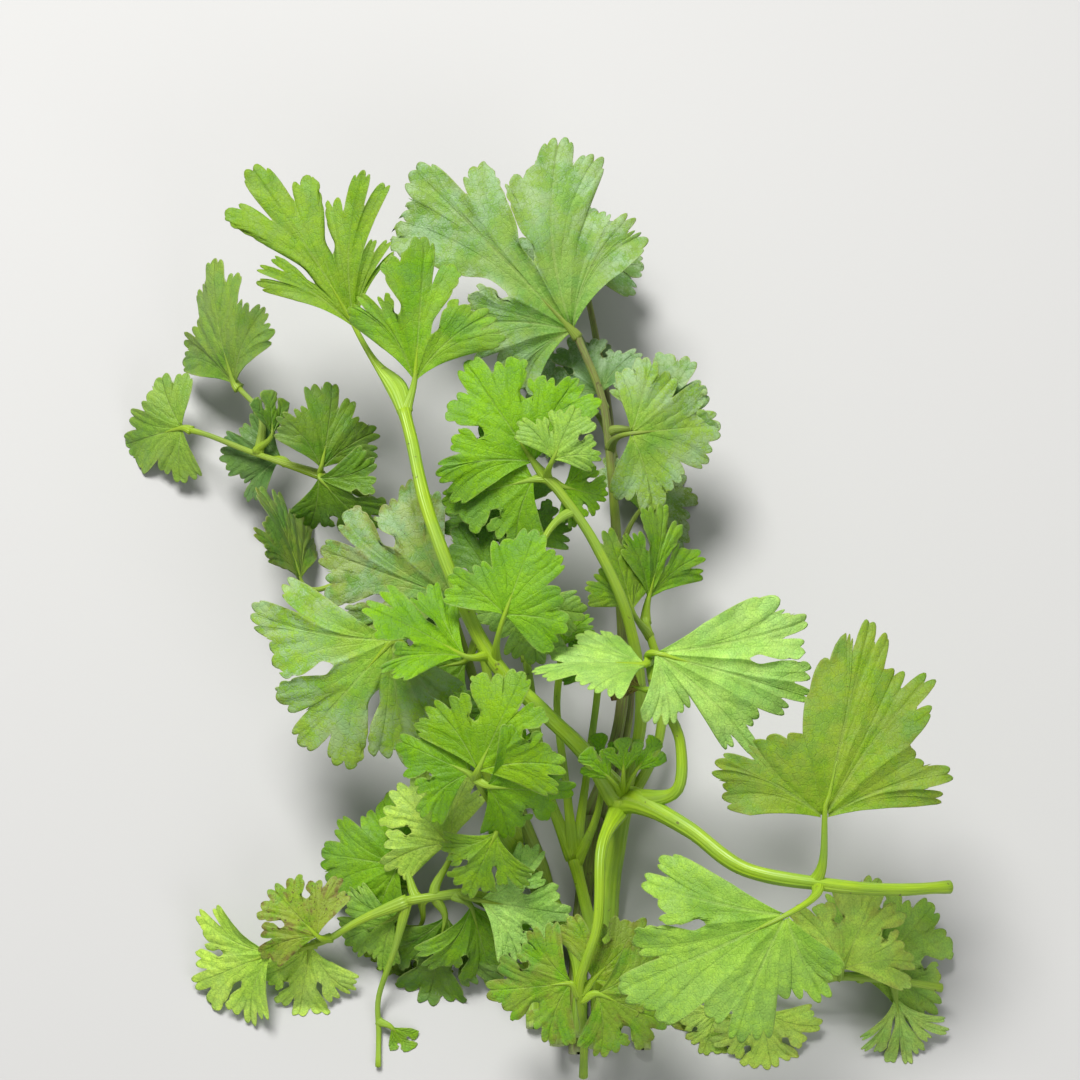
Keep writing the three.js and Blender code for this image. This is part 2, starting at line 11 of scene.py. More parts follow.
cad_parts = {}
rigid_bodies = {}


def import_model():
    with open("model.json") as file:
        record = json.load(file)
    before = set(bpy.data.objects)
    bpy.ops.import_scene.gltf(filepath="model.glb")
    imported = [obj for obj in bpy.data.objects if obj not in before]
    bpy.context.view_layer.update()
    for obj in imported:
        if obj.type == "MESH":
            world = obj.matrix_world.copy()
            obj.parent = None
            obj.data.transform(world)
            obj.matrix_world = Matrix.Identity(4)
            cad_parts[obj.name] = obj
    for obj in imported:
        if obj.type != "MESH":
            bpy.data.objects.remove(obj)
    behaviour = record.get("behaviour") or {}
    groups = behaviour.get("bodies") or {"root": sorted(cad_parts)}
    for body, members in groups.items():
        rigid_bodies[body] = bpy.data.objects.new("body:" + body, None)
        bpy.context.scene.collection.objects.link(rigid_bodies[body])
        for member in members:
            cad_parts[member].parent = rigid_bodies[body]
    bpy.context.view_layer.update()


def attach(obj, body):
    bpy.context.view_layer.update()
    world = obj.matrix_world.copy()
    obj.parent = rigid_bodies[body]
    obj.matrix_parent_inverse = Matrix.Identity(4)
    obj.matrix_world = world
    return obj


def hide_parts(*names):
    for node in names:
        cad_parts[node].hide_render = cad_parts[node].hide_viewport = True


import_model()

MM = 0.001
DEGREE = math.pi / 180

# The frame's own measures, in millimetres, degrees and shares of a length
BLADE_LEAN = 20
LOWER_REACH = 0.34
ROOT_DEPTH = 0.06
ROOT_STAGGER = 0.012
STALK_PULL = 0.45
LEAVING_SHARE = 0.3
ARRIVING_SHARE = 0.35
TOOTH_SPACING = 0.68
TIP_UNEVENNESS = 0.05
OUTER_TIP_LOSS = 0.1
ORIGIN_SHIFT = (3.8, 12.4, 0)

# The finer form of the blades, in millimetres and shares of a length
FINE_LENGTH = 15  # blades longer than this get closer rows of points
TYPICAL_LENGTH = 35  # a blade this long has relief of whole size
TOOTH_WIDTH = 3.2
FEWEST_TEETH, MOST_TEETH = 2, 5  # small teeth on one finger of a lobe
TOOTH_DEPTH, TOOTH_DEPTH_LIMIT = 0.62, 0.075  # shares of the tooth's width and the blade
TOOTH_POINT = 2.4
NOTCH_UNEVENNESS = 0.45
LEAST_RADIUS = 0.2
DEEP_CUT = 0.33  # a cut deeper than this parts its lobes
CUT_POINTS = 14
VEIN_SPACING = 6.0
VEIN_LEAN = 1.15
MIDRIB_SHARE = 0.27  # how far the little stalk runs out into the blade's midrib
WAVE, SHORT_WAVE, TWIST, CUP, RUFFLE = 0.03, 0.016, 0.042, 0.035, 0.018
# and in millimetres, for a blade of typical length
RIPPLE, PLEATS = 0.24, 0.1
MAIN_RIB, SIDE_RIB = 0.5, 0.16
EDGE_THICKNESS, MORE_INSIDE = 0.12, 0.2

# How the margin falls from a tip to the cut beside it: a power and a rounding
NOTCH, CUT, OUTER = (4.2, 1.3), (5.2, 2.6), (2.8, 1.2)
SHALLOW, STRAIGHT = (3.6, 1.2), (1.15, 1.0)
# Where a cut between two lobes closes and opens again, from its end (0) to the margin (1), how
# nearly it closes, how far the teeth along it open it, and the round hole at its end
CLOSING = (0.3, 0.55, 0.8, 1.1)
CLOSED, OPENED_BY_TEETH = 0.96, 0.5
HOLE_WIDTH, HOLE_PLACE, HOLE_LENGTH = 0.16, 0.16, 0.13

# Stalks, in millimetres
STALK_STEP, PETIOLULE_STEP = 1.6, 1.2
THICK_STALK = 1.75  # stalks that start thicker than this get more sides and ribs
END_SWELL, END_LENGTH = 0.16, 3.0
SHEATH_SWELL, SHEATH_WIDTH, SHEATH_LENGTH = 0.1, 0.55, 9.0
TORN_SHEATH, TORN_PLACE, TORN_LENGTH = 1.7, 8, 6.0
STALK_GAP, BLADE_GAP = 0.04, 0.06  # left above the table
CUT_WALL, CUT_WELL = 0.74, 2.4  # of a hollow cut end: share of the radius, and depth

# Leaf colours as display values; dusk is a painted shade
TONES = {
    "lime": (137, 180, 34), "fresh": (127, 178, 24), "bright": (130, 182, 10),
    # grey is partly the leaves' own grey-green and partly painted sky reflection on blades facing
    # up
    "sage": (132, 172, 64), "grey": (126, 170, 78), "deep": (101, 146, 30), "pale": (172, 210, 110),
    "olive": (134, 172, 32), "lemon": (198, 228, 104), "withered": (128, 112, 50),
    # dusk is painted shade: a darker bluish green for blades lying in the shade of others
    "dusk": (98, 140, 70), "mint": (160, 200, 82), "cream": (190, 230, 132), "moss": (146, 192, 64),
    "spring": (142, 190, 10),
}

# Blade forms. spread holds the angles of the lower margins, gather says how they close up towards
# the base, cuts are the depths between the lobes, and each lobe is [angle from the midrib, reach,
# half width] with teeth fingers.
Form = namedtuple("Form", "spread gather tooth cuts lobes teeth shallow closing pleats",
                  defaults=(3, SHALLOW, CLOSING, PLEATS))
FORMS = {
    "fan": Form([-104, 104], 0.3, 0.13, [0.44, 0.36],
        [[-66, 0.84, 31], [0, 1, 30], [66, 0.84, 31]]),
    "round": Form([-112, 134], 0.15, 0.1, [0.3, 0.26],
        [[-74, 0.78, 36], [0, 1, 37], [82, 0.78, 44]], pleats=0.3),
    "wedge": Form([-82, 82], 0.45, 0.14, [0.46, 0.38],
        [[-52, 0.84, 24], [0, 1, 24], [52, 0.84, 24]]),
    "oval": Form([-88, 88], 0.35, 0.11, [0.14, 0.2],
        [[-54, 0.78, 26], [-2, 1, 26], [52, 0.82, 28]]),
    "slit": Form([-66, 80], 0.6, 0.2, [0.5, 0.5, 0.2],
        [[-43, 0.64, 15], [-8, 1, 21], [31, 0.83, 18], [66, 0.52, 19]]),
    "narrow": Form([-74, 84], 0.5, 0.13, [0.36, 0.54],
        [[-43, 0.76, 16], [-1, 1, 20], [50, 0.78, 26]]),
    "broad": Form([-112, 98], 0.3, 0.11, [0.25, 0.1, 0.14],
        [[-75, 0.54, 31], [11, 1, 10], [36, 0.84, 15], [76, 0.6, 20]], shallow=STRAIGHT),
    "sweep": Form([-135, 64], 0.2, 0.1, [0.14, 0.18, 0.46],
        [[-98, 0.52, 30], [-44, 0.8, 19], [0, 1, 20], [40, 0.82, 16]]),
    "hand": Form([-52, 118], 0.3, 0.11, [0.42, 0.16, 0.3],
        [[-22, 0.96, 13], [6, 1, 12], [36, 0.82, 14], [82, 0.46, 28]]),
    "feather": Form([-66, 66], 0.6, 0.3, [0.7, 0.7],
        [[-44, 0.84, 19], [0, 1, 19], [44, 0.84, 19]]),
    "palm": Form([-112, 94], 0.2, 0.16, [0.16, 0.6, 0.54],
        [[-90, 0.6, 20], [-48, 0.86, 21], [3, 1, 27], [62, 0.9, 29]]),
    "grand": Form([-154, 118], 0.45, 0.09, [0.14, 0.4, 0.6, 0.14],
        [[-122, 0.4, 26], [-57, 0.54, 26], [-1, 1, 20], [41, 0.88, 21], [86, 0.62, 20]],
        closing=(0.2, 0.36, 0.8, 1.15)),
    "bud": Form([-58, 58], 0.3, 0, [0.35, 0.35],
        [[-36, 0.85, 17], [0, 1, 17], [36, 0.85, 17]], teeth=1),
}

# where is a place along the parent or stalk from 0 to 1. turn, pitch and roll are degrees, and
# across and along are the degrees that the blade bends through. age runs from 0 to 1.
# a blade of tone dusk gets painted shade, for lying under other blades
Stalk = namedtuple("Stalk", "name parent where start_radius end_radius points")
Blade = namedtuple("Blade", "stalk where base turn pitch roll length form across along tone age")
Plant = namedtuple("Plant", "name slot tone stalks blades")
PLANTS = [
  Plant("shoot_main", "leaf_fresh", 0, stalks=[
    ["trunk", None, 0, 2.7, 2.7, [[14, -119, 13], [15, -100, 16], [16, -82, 21], [18, -70, 28],
      [19, -64, 32]]],
    ["left", "trunk", 0.97, 2, 1.4, [[10, -55, 39], [1, -47, 43], [-10, -37, 48], [-18, -23, 53],
      [-26, -2, 56], [-30, 16, 54], [-32, 24, 53]]],
    ["right", "trunk", 0.97, 2, 1.3, [[23, -66, 35], [34, -74, 41], [46, -84, 45], [64, -88, 47],
      [79, -88, 42], [93, -86, 36]]],
    ["front", "trunk", 0.9, 1.4, 0.9, [[14, -78, 40], [13, -95, 38], [9, -107, 31], [10, -116, 22],
      [10, -125, 12]]],
    ["curved", "right", 0.12, 1.4, 1.1, [[31, -65, 41], [32, -55, 45], [29, -48, 48], [26, -43, 50],
      [25, -36, 52]]],
  ], blades=[
    ["left", 1, [-44, 46, 51], -25, 8, 0, 45, "slit", 12, 14, "lime", 0.25],
    ["left", 1, [-29.5, 31, 54], 5, 8, 0, 33, "narrow", 16, 20, "fresh", 0.25],
    ["left", 0.46, [-8, -28.5, 59], 20, 4, 0, 20, "round", 14, 14, "fresh", 0.05],
    ["left", 0.46, [-17, -37, 54], -58, 10, 34, 26, "narrow", 10, 16, "bright", 0.04],
    ["right", 0.66, [63, -75, 56], 3, 8, 0, 48, "broad", 20, 28, "olive", 0.42],
    ["right", 0.68, [54, -96.5, 55], -116, 2, 0, 40, "sweep", 18, 24, "mint", 0.05],
    ["curved", 1, [26, -37, 57], 100, 4, 0, 38, "hand", 16, 20, "cream", 0.25],
    ["curved", 1, [24, -39, 54], -82, 4, 66, 26, "oval", 16, 16, "pale", 0.1],
    ["curved", 0.8, [23, -44, 52], -70, -10, 0, 9, "bud", 30, 30, "withered", 1.0],
    ["front", 0.66, [7, -107, 32], -98, 0, -8, 19, "fan", 12, 16, "fresh", 0.62],
    ["front", 0.66, [12, -106, 30], 46, -2, 0, 18, "fan", 12, 14, "olive", 0.62],
    ["front", 0.7, [13, -109, 30], 116, -2, 6, 19, "fan", 14, 18, "fresh", 0.6],
    ["trunk", 0.98, [19, -61, 43], 0, 25, 10, 9, "bud", 40, 10, "bright", 0],
    ["trunk", 0.98, [22, -60, 41], 36, 4, 10, 9, "bud", 30, 30, "bright", 0],
    ["trunk", 0.98, [16, -62, 41], -44, 20, -10, 9, "bud", 40, 10, "bright", 0],
  ]),
  Plant("shoot_tall", "leaf_grey", 0.85, stalks=[
    ["trunk", None, 0, 2.3, 2.1, [[9, -118, 1.7], [9, -98, 1.6], [11, -76, 3.2], [13, -62, 5]]],
    ["long", "trunk", 1, 1.6, 0.9, [[20, -34, 10], [19, -1, 18], [17, 26, 24], [15, 39, 27],
      [9, 54, 30]]],
    ["back", "trunk", 0.96, 1.3, 0.8, [[20, -45, 4], [22, -25, 4], [19, 2, 6], [18, 36, 9],
      [14, 62, 13], [11, 76, 16]]],
  ], blades=[
    ["long", 1, [8, 54.5, 31], -43, 6, 0, 55, "grand", 18, 22, "grey", 0.3],
    ["long", 0.62, [22, 26, 34], 84, -4, 0, 24, "round", 12, 18, "sage", 0.25],
    ["long", 0.68, [27, 30, 30], 32, 10, -6, 19, "fan", 16, 16, "grey", 0.3],
    ["long", 0.76, [15, 42, 21], -24, -14, 0, 18, "fan", 20, 20, "dusk", 0.1],
    ["back", 1, [9.5, 79, 18], 8, -30, 0, 23, "round", 20, 30, "dusk", 0.2],
    ["back", 0.67, [12, 44, 9], -64, -20, 0, 22, "fan", 20, 24, "dusk", 0.1],
    ["back", 0.5, [25, 16, 8], 46, -28, 0, 20, "round", 20, 26, "deep", 0.3],
  ]),
  Plant("shoot_middle", "leaf_bright", 0.15, stalks=[
    ["trunk", None, 0, 2.2, 2, [[14.3, -116, 1.7], [14.3, -98, 1.7], [17, -80, 5], [18, -64, 9]]],
    ["long", "trunk", 1, 1.6, 1.1, [[24, -42, 20], [21, -22, 34], [13, -5, 41], [5, 6, 45],
      [1.3, 10, 46]]],
    ["side", "trunk", 1, 1.3, 1, [[28, -47, 13], [29, -30, 16], [25, -17, 22]]],
  ], blades=[
    ["long", 1, [-1.5, 13, 48], -34, 6, 0, 28, "fan", 18, 18, "bright", 0.05],
    ["long", 1, [-1.5, 9.5, 46], -104, -2, 0, 23, "fan", 16, 20, "fresh", 0.05],
    ["long", 1, [3, 12, 52], 24, 10, 0, 14, "fan", 16, 20, "mint", 0.05],
    ["long", 0.96, [5.5, 8, 45], 104, -6, 0, 12, "fan", 16, 20, "bright", 0.05],
    ["long", 0.74, [-2, -20, 44], 176, -6, 0, 17, "round", 14, 22, "sage", 0.1],
    ["side", 1, [26, -13, 24], 16, 4, 34, 24, "narrow", 14, 18, "fresh", 0.25],
    ["side", 0.9, [22, -17, 28], -14, 8, 44, 20, "oval", 20, 10, "lime", 0.3],
  ]),
  Plant("shoot_left", "leaf_deep", 0.35, stalks=[
    ["trunk", None, 0, 1.9, 1.7, [[3.6, -114, 1.4], [3.4, -95, 1.3], [1, -76, 2.2], [-6, -58, 3]]],
    ["long", "trunk", 1, 1.3, 0.9, [[-19, -19, 6], [-28, 7, 11], [-38, 13, 17], [-47, 17, 21],
      [-54, 20, 22]]],
    ["far", "long", 0.98, 0.8, 0.65, [[-71, 27, 19], [-82, 33, 15], [-88, 36, 12]]],
    ["upper", "far", 0.3, 0.75, 0.6, [[-69, 36, 21], [-75, 44, 20]]],
  ], blades=[
    ["long", 1, [-53.5, 20.5, 25], 14, 6, 24, 22, "oval", 24, 26, "deep", 0.25],
    ["long", 0.96, [-54, 18, 25], 138, 0, 26, 19, "fan", 30, 24, "deep", 0.1],
    ["far", 1, [-90, 37, 11], -104, -16, 0, 19, "round", 20, 30, "sage", 0.2],
    ["upper", 1, [-76, 45, 20], -20, 8, -50, 31, "oval", 20, 30, "sage", 0.25],
    ["far", 0.34, [-66, 30, 23], 2, 8, 46, 12, "bud", 10, 20, "deep", 0.2],
    ["far", 0.2, [-64, 26, 18], -84, -12, 0, 18, "oval", 16, 24, "dusk", 0.1],
    ["long", 0.4, [-59, -4, 12], -12, 0, 72, 27, "oval", 10, 20, "deep", 0.5],
  ]),
  Plant("shoot_broad", "leaf_grey", 0.1, stalks=[
    ["trunk", None, 0, 1.8, 1.6, [[4, -117, 6.4], [4, -98, 6.6], [0, -82, 8], [-6, -70, 11]]],
    ["upper", "trunk", 1, 1.4, 1.1, [[-17, -47, 24], [-26, -35, 35], [-32, -31, 42]]],
    ["low", "trunk", 1, 1.3, 1, [[-8, -50, 12], [-12, -32, 14], [-16, -17, 20], [-19, -14, 26]]],
  ], blades=[
    ["upper", 1, [-34, -29.5, 44], -141, 2, 0, 36, "palm", 20, 26, "moss", 0.35],
    ["low", 1, [-20, -14, 27], -70, 4, 0, 37, "wedge", 16, 24, "grey", 0.62],
    ["low", 0.7, [-18, -26, 15], -100, -12, 0, 24, "fan", 20, 26, "deep", 0.1],
    ["low", 0.5, [-18, -38, 13], -126, -14, 0, 22, "fan", 20, 26, "dusk", 0.1],
  ]),
  Plant("shoot_centre", "leaf_bright", 0, stalks=[
    ["trunk", None, 0, 1.8, 1.5, [[9, -115, 6.8], [9, -98, 8], [3, -84, 12], [-4, -76, 17]]],
    ["upper", "trunk", 1, 1.3, 0.8, [[-9, -71, 27], [-11, -67, 36], [-13, -65, 42],
      [-14.5, -63, 45]]],
  ], blades=[
    ["upper", 1, [-14, -62, 48], 24, 10, -6, 24, "fan", 20, 16, "spring", 0.1],
    ["upper", 1, [-12, -65, 46], 98, -6, 24, 20, "fan", 30, 16, "bright", 0.05],
    ["upper", 1, [-16, -62, 46], -66, 0, 0, 18, "fan", 16, 20, "bright", 0.05],
    ["upper", 0.34, [-10, -73, 35], -156, -8, 0, 18, "wedge", 20, 26, "lime", 0.1],
  ]),
  Plant("shoot_front", "leaf_fresh", 0.1, stalks=[
    ["trunk", None, 0, 1.9, 1.6, [[-1.4, -112, 1.4], [-2, -99, 1.6], [-5, -90, 6], [-9, -85, 9]]],
    ["leafy", "trunk", 1, 1.3, 1, [[-17, -83, 15], [-24, -84, 17], [-31, -85, 17]]],
    ["far", "leafy", 1, 0.95, 0.75, [[-42, -89, 14], [-50, -93, 11], [-57, -95, 10]]],
    ["hanging", "leafy", 1, 0.75, 0.6, [[-34, -95, 11], [-38, -105, 4], [-38, -113, 1.2],
      [-38, -121, 1.2]]],
  ], blades=[
    ["leafy", 0.7, [-21, -72, 20], -46, 4, 0, 20, "fan", 20, 20, "lemon", 0.15],
    ["leafy", 0.9, [-33, -76, 15], -84, -8, 0, 22, "round", 26, 34, "fresh", 0.1],
    ["leafy", 0.95, [-31, -80, 10], -90, -14, 0, 16, "fan", 20, 26, "sage", 0.2],
    ["leafy", 0.5, [-16, -86, 17], 166, -8, 0, 23, "wedge", 16, 26, "fresh", 0.15],
    ["leafy", 0.7, [-22, -88, 14], 192, -12, 0, 26, "wedge", 16, 24, "deep", 0.15],
    ["leafy", 0.85, [-28, -89, 9], 216, -16, 0, 19, "wedge", 16, 26, "olive", 0.2],
    ["leafy", 0.4, [-14, -86, 22], 100, 0, 0, 22, "wedge", 16, 22, "cream", 0.05],
    ["leafy", 1, [-34, -88, 12], -114, -14, 0, 17, "oval", 16, 26, "mint", 0.1],
    ["far", 0.66, [-52, -93, 15], -44, 2, 0, 17, "fan", 16, 24, "olive", 0.85],
    ["far", 1, [-63, -96, 11], -114, -8, 0, 23, "wedge", 16, 20, "lemon", 0.2],
    ["far", 0.8, [-54, -94, 10], -170, -10, 0, 20, "wedge", 16, 20, "lemon", 0.2],
    ["hanging", 0.7, [-35, -112, 2.6], 142, -14, 0, 8, "bud", 16, 10, "bright", 0.2],
  ]),
  Plant("shoot_right", "leaf_yellowing", 0.15, stalks=[
    ["trunk", None, 0, 1.9, 1.6, [[24.2, -117, 1.4], [24.4, -105, 1.6], [30, -98, 4],
      [38, -97, 5]]],
    ["right", "trunk", 1, 1.4, 0.9, [[59, -103, 9], [70, -102, 13], [84, -103, 12], [94, -104, 9]]],
    ["front", "trunk", 0.9, 1.2, 1, [[42, -106, 4], [50, -108, 5]]],
  ], blades=[
    ["right", 0.5, [70, -101, 17], 24, 2, 0, 22, "fan", 20, 24, "lemon", 0.5],
    ["right", 0.6, [76, -102, 10], 48, -14, 0, 26, "fan", 16, 20, "mint", 0.3],
    ["right", 0.75, [83, -106, 10], 168, -12, 0, 19, "feather", 10, 16, "pale", 0.4],
    ["front", 1, [52, -109, 7], 170, -10, 0, 17, "fan", 16, 14, "lemon", 0.4],
    ["front", 0.7, [42, -108, 5], 198, -10, 0, 13, "fan", 16, 10, "lemon", 0.4],
    ["front", 0.2, [36, -105, 4], 200, -10, 0, 9, "bud", 16, 10, "olive", 0.6],
  ]),
  Plant("shoot_inner", "leaf_bright", 0, stalks=[
    ["trunk", None, 0, 1.4, 1.4, [[14.2, -113, 6.8], [14.4, -99, 7.4], [11, -86, 12],
      [8, -75, 17]]],
    ["first", "trunk", 1, 1, 0.8, [[6, -58, 24], [4, -42, 29], [5, -30, 31]]],
    ["second", "trunk", 0.98, 1, 0.8, [[11, -56, 22], [13, -42, 26], [14, -34, 29]]],
    ["third", "trunk", 1, 1.2, 0.9, [[2, -60, 20], [-1, -44, 23], [-4, -24, 26], [-8, -4, 27]]],
    ["short", "trunk", 0.96, 0.9, 0.7, [[13, -67, 23], [15, -58, 28]]],
  ], blades=[
    ["first", 1, [5, -28, 33], -20, -4, 0, 12, "fan", 20, 20, "bright", 0],
    ["second", 1, [13, -34, 29], -20, -4, 0, 11, "fan", 20, 20, "bright", 0],
    ["short", 1, [15, -57, 29], -10, 4, 0, 9, "bud", 20, 20, "bright", 0],
    ["third", 0.7, [-9, -14, 32], -34, 0, 0, 19, "fan", 18, 20, "deep", 0],
    ["third", 1, [-8, -1, 29], 8, -6, 0, 21, "fan", 18, 22, "deep", 0],
    ["third", 0.5, [-7, -42, 23], -126, -4, 0, 15, "fan", 18, 22, "deep", 0],
  ]),
]


# ---- curves

def catmull_rom(points):
    """The same curve as the frame's stalks follow: a function from 0..1 to points."""
    path = np.array(points, float)
    ends = np.vstack([2 * path[0] - path[1], path, 2 * path[-1] - path[-2]])
    last = len(path) - 1

    def at(t):
        place = np.atleast_1d(np.asarray(t, float)) * last
        k = np.clip(np.floor(place).astype(int), 0, last - 1)
        w = (place - k)[:, None]
        before, start, end, after = ends[k], ends[k + 1], ends[k + 2], ends[k + 3]
        leave, arrive = 0.5 * (end - before), 0.5 * (after - start)
        return ((2 * w**3 - 3 * w**2 + 1) * start + (w**3 - 2 * w**2 + w) * leave
                + (3 * w**2 - 2 * w**3) * end + (w**3 - w**2) * arrive)

    return at


def tangent(curve, t):
    low, high = max(0.0, t - 1e-4), min(1.0, t + 1e-4)
    step = curve(high)[0] - curve(low)[0]
    return step / np.linalg.norm(step)


def bezier(a, b, c, d):
    def at(t):
        t = np.atleast_1d(np.asarray(t, float))[:, None]
        return (1 - t)**3 * a + 3 * (1 - t)**2 * t * b + 3 * (1 - t) * t**2 * c + t**3 * d
    return at


def distances(path):
    """How far each point of a path is from its start."""
    return np.append(0, np.cumsum(np.linalg.norm(np.diff(path, axis=0), axis=1)))


def even_samples(curve, spacing, least=5):
    """Points about evenly spaced along a curve, with their distance from its start."""
    fine = curve(np.linspace(0, 1, 400))
    run = distances(fine)
    count = max(least, int(run[-1] / spacing) + 1)
    want = np.linspace(0, run[-1], count)
    return np.stack([np.interp(want, run, fine[:, i]) for i in range(3)], 1), want


def ease(value, low, high):
    """0 up to low, 1 from high, smooth between them."""
    x = np.clip((value - low) / (high - low), 0, 1)
    return x * x * (3 - 2 * x)


def hump(value, middle, width):
    """1 at the middle, falling off smoothly to both sides."""
    return np.exp(-((value - middle) / width)**2)


# ---- meshes

def new_object(name, data):
    obj = bpy.data.objects.new(name, data)
    bpy.context.scene.collection.objects.link(obj)
    return obj


class Piece:
    """Collects closed shells and their vertex attributes, then makes one object of them."""

    def __init__(self):
        self.points, self.quads, self.tris, self.facts = [], [], [], {}
        self.count = 0

    def add(self, points, quads, tris=(), **facts):
        self.points.append(points)
        self.quads.append(np.asarray(quads, int).reshape(-1, 4) + self.count)
        self.tris.append(np.asarray(tris, int).reshape(-1, 3) + self.count)
        for key, values in facts.items():
            self.facts.setdefault(key, []).append(np.asarray(values, float))
        self.count += len(points)

    def build(self, name, material, node, slot):
        points = (np.vstack(self.points) + np.array(ORIGIN_SHIFT)) * MM
        quads, tris = np.vstack(self.quads), np.vstack(self.tris)
        mesh = bpy.data.meshes.new(name)
        mesh.vertices.add(len(points))
        mesh.vertices.foreach_set("co", points.ravel())
        mesh.loops.add(quads.size + tris.size)
        mesh.loops.foreach_set("vertex_index", np.concatenate([quads.ravel(), tris.ravel()]))
        mesh.polygons.add(len(quads) + len(tris))
        starts = [np.arange(len(quads)) * 4, quads.size + np.arange(len(tris)) * 3]
        mesh.polygons.foreach_set("loop_start", np.concatenate(starts))
        mesh.update(calc_edges=True)
        mesh.polygons.foreach_set("use_smooth", np.ones(len(mesh.polygons), bool))
        for key, parts in self.facts.items():
            values = np.concatenate(parts)
            kind, channel = ("FLOAT", "value") if values.ndim == 1 else ("FLOAT_VECTOR", "vector")
            mesh.attributes.new(key, kind, "POINT").data.foreach_set(channel, values.ravel())
        mesh.validate()
        mesh.materials.append(material)
        obj = new_object(name, mesh)
        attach(obj, "root")
        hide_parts(node)


# ---- stalks

def carried_frames(path):
    """Tangent, across and other direction at each point, carried along without twist."""
    tangents = np.gradient(path, axis=0)
    tangents /= np.linalg.norm(tangents, axis=1)[:, None]
    across = np.array([0.0, 0.0, 1.0])
    rows = []
    for t in tangents:
        across = across - np.dot(across, t) * t
        across = across / np.linalg.norm(across)
        rows.append((across, np.cross(across, t)))
    return tangents, np.array([r[0] for r in rows]), np.array([r[1] for r in rows])


def add_tube(piece, path, run, radii, sides, ridges, ribs, wide, tone, hollow=False):
    """A tapered tube with fine ribs. wide stretches it sideways, hollow opens its cut end."""
    tangents, across, other = carried_frames(path)
    phi = np.linspace(0, 2 * np.pi, sides, endpoint=False)
    radius = radii[:, None] * (1 + ridges * np.cos(ribs * phi)[None, :])
    grid = (path[:, None, :]
            + (radius * np.cos(phi))[:, :, None] * across[:, None, :]
            + (radius * np.sin(phi) * wide[:, None])[:, :, None] * other[:, None, :])
    along = np.repeat(run[:, None], sides, 1)
    turn = np.repeat((phi / (2 * np.pi))[None, :], len(path), 0)
    cut = np.zeros((len(path), sides))
    if hollow:
        lip = path[0] + (grid[0] - path[0]) * CUT_WALL
        well = lip + tangents[0] * CUT_WELL
        grid = np.concatenate([np.stack([well, lip]), grid])
        along = np.vstack([along[:1], along[:1], along])
        turn = np.vstack([turn[:1], turn[:1], turn])
        cut = np.vstack([np.ones((2, sides)), cut])
        cut[1], cut[2] = 0.8, 0.5
    index = np.arange(len(grid) * sides).reshape(-1, sides)
    beside = np.roll(index, -1, 1)
    quads = np.stack([index[:-1], beside[:-1], beside[1:], index[1:]], -1).reshape(-1, 4)
    low = grid[0].mean(0)
    high = path[-1] + tangents[-1] * radii[-1] * 0.5
    points = np.vstack([grid.reshape(-1, 3), low, high])
    points[:, 2] = np.maximum(points[:, 2], STALK_GAP)
    first, last = index.size, index.size + 1
    tris = [(first, beside[0, j], index[0, j]) for j in range(sides)]
    tris += [(last, index[-1, j], beside[-1, j]) for j in range(sides)]
    facts = np.stack([along, turn, cut], -1).reshape(-1, 3)
    facts = np.vstack([facts, facts[0], facts[-1]])
    piece.add(points, quads, tris, stalk=facts, tone=np.full(len(points), tone))


def stalk_curves(stalks):
    curves = {}
    for stalk in stalks:
        path = [list(p) for p in stalk.points]
        if stalk.parent:
            path.insert(0, list(curves[stalk.parent](stalk.where)[0]))
        curves[stalk.name] = catmull_rom(path)
    return curves


# ---- blades

def blade_matrix(blade):
    matrix = Matrix.Translation(blade.base)
    turns = ((BLADE_LEAN, "X"), (-blade.turn, "Z"), (blade.pitch, "X"), (blade.roll, "Y"))
    for angle, axis in turns:
        matrix = matrix @ Matrix.Rotation(angle * DEGREE, 4, axis)
    return np.array(matrix)


def placed(points, matrix):
    return points @ matrix[:3, :3].T + matrix[:3, 3]


def bend(right, forward, blade):
    """The frame's own bend: the blade's two flat coordinates to a point out of its plane."""
    sideways = blade.across * DEGREE / blade.length
    lengthways = blade.along * DEGREE / blade.length
    x = np.sin(sideways * right) / sideways
    sag = (np.cos(sideways * right) - 1) / sideways
    angle = lengthways * forward
    y = np.sin(angle) / lengthways
    droop = (np.cos(angle) - 1) / lengthways
    return np.stack([x, y + sag * np.sin(angle), droop + sag * np.cos(angle)], -1)


def drop(x, power, rounding):
    """How far the margin has fallen from a tip (x 0) to the cut beside it (x 1)."""
    return 1 - (1 - np.clip(x, 0, 1)**power)**rounding


def tooth_samples(count, dense):
    """Places from -1 to 1 across a finger that has count small round teeth."""
    steps = [0.0, 0.14, 0.36, 0.64, 0.86]
    if dense:
        steps = [0.0, 0.07, 0.19, 0.35, 0.5, 0.65, 0.81, 0.93]
    phase = np.array([k + step for k in range(count) for step in steps] + [count])
    return 2 * phase / count - 1


def steep_samples(count):
    """Places from a finger's shoulder down to the deep cut beside it, even in depth."""
    power, rounding = CUT
    depth = np.linspace(0.06, 1, count)
    return (1 - (1 - depth)**(1 / rounding))**(1 / power)


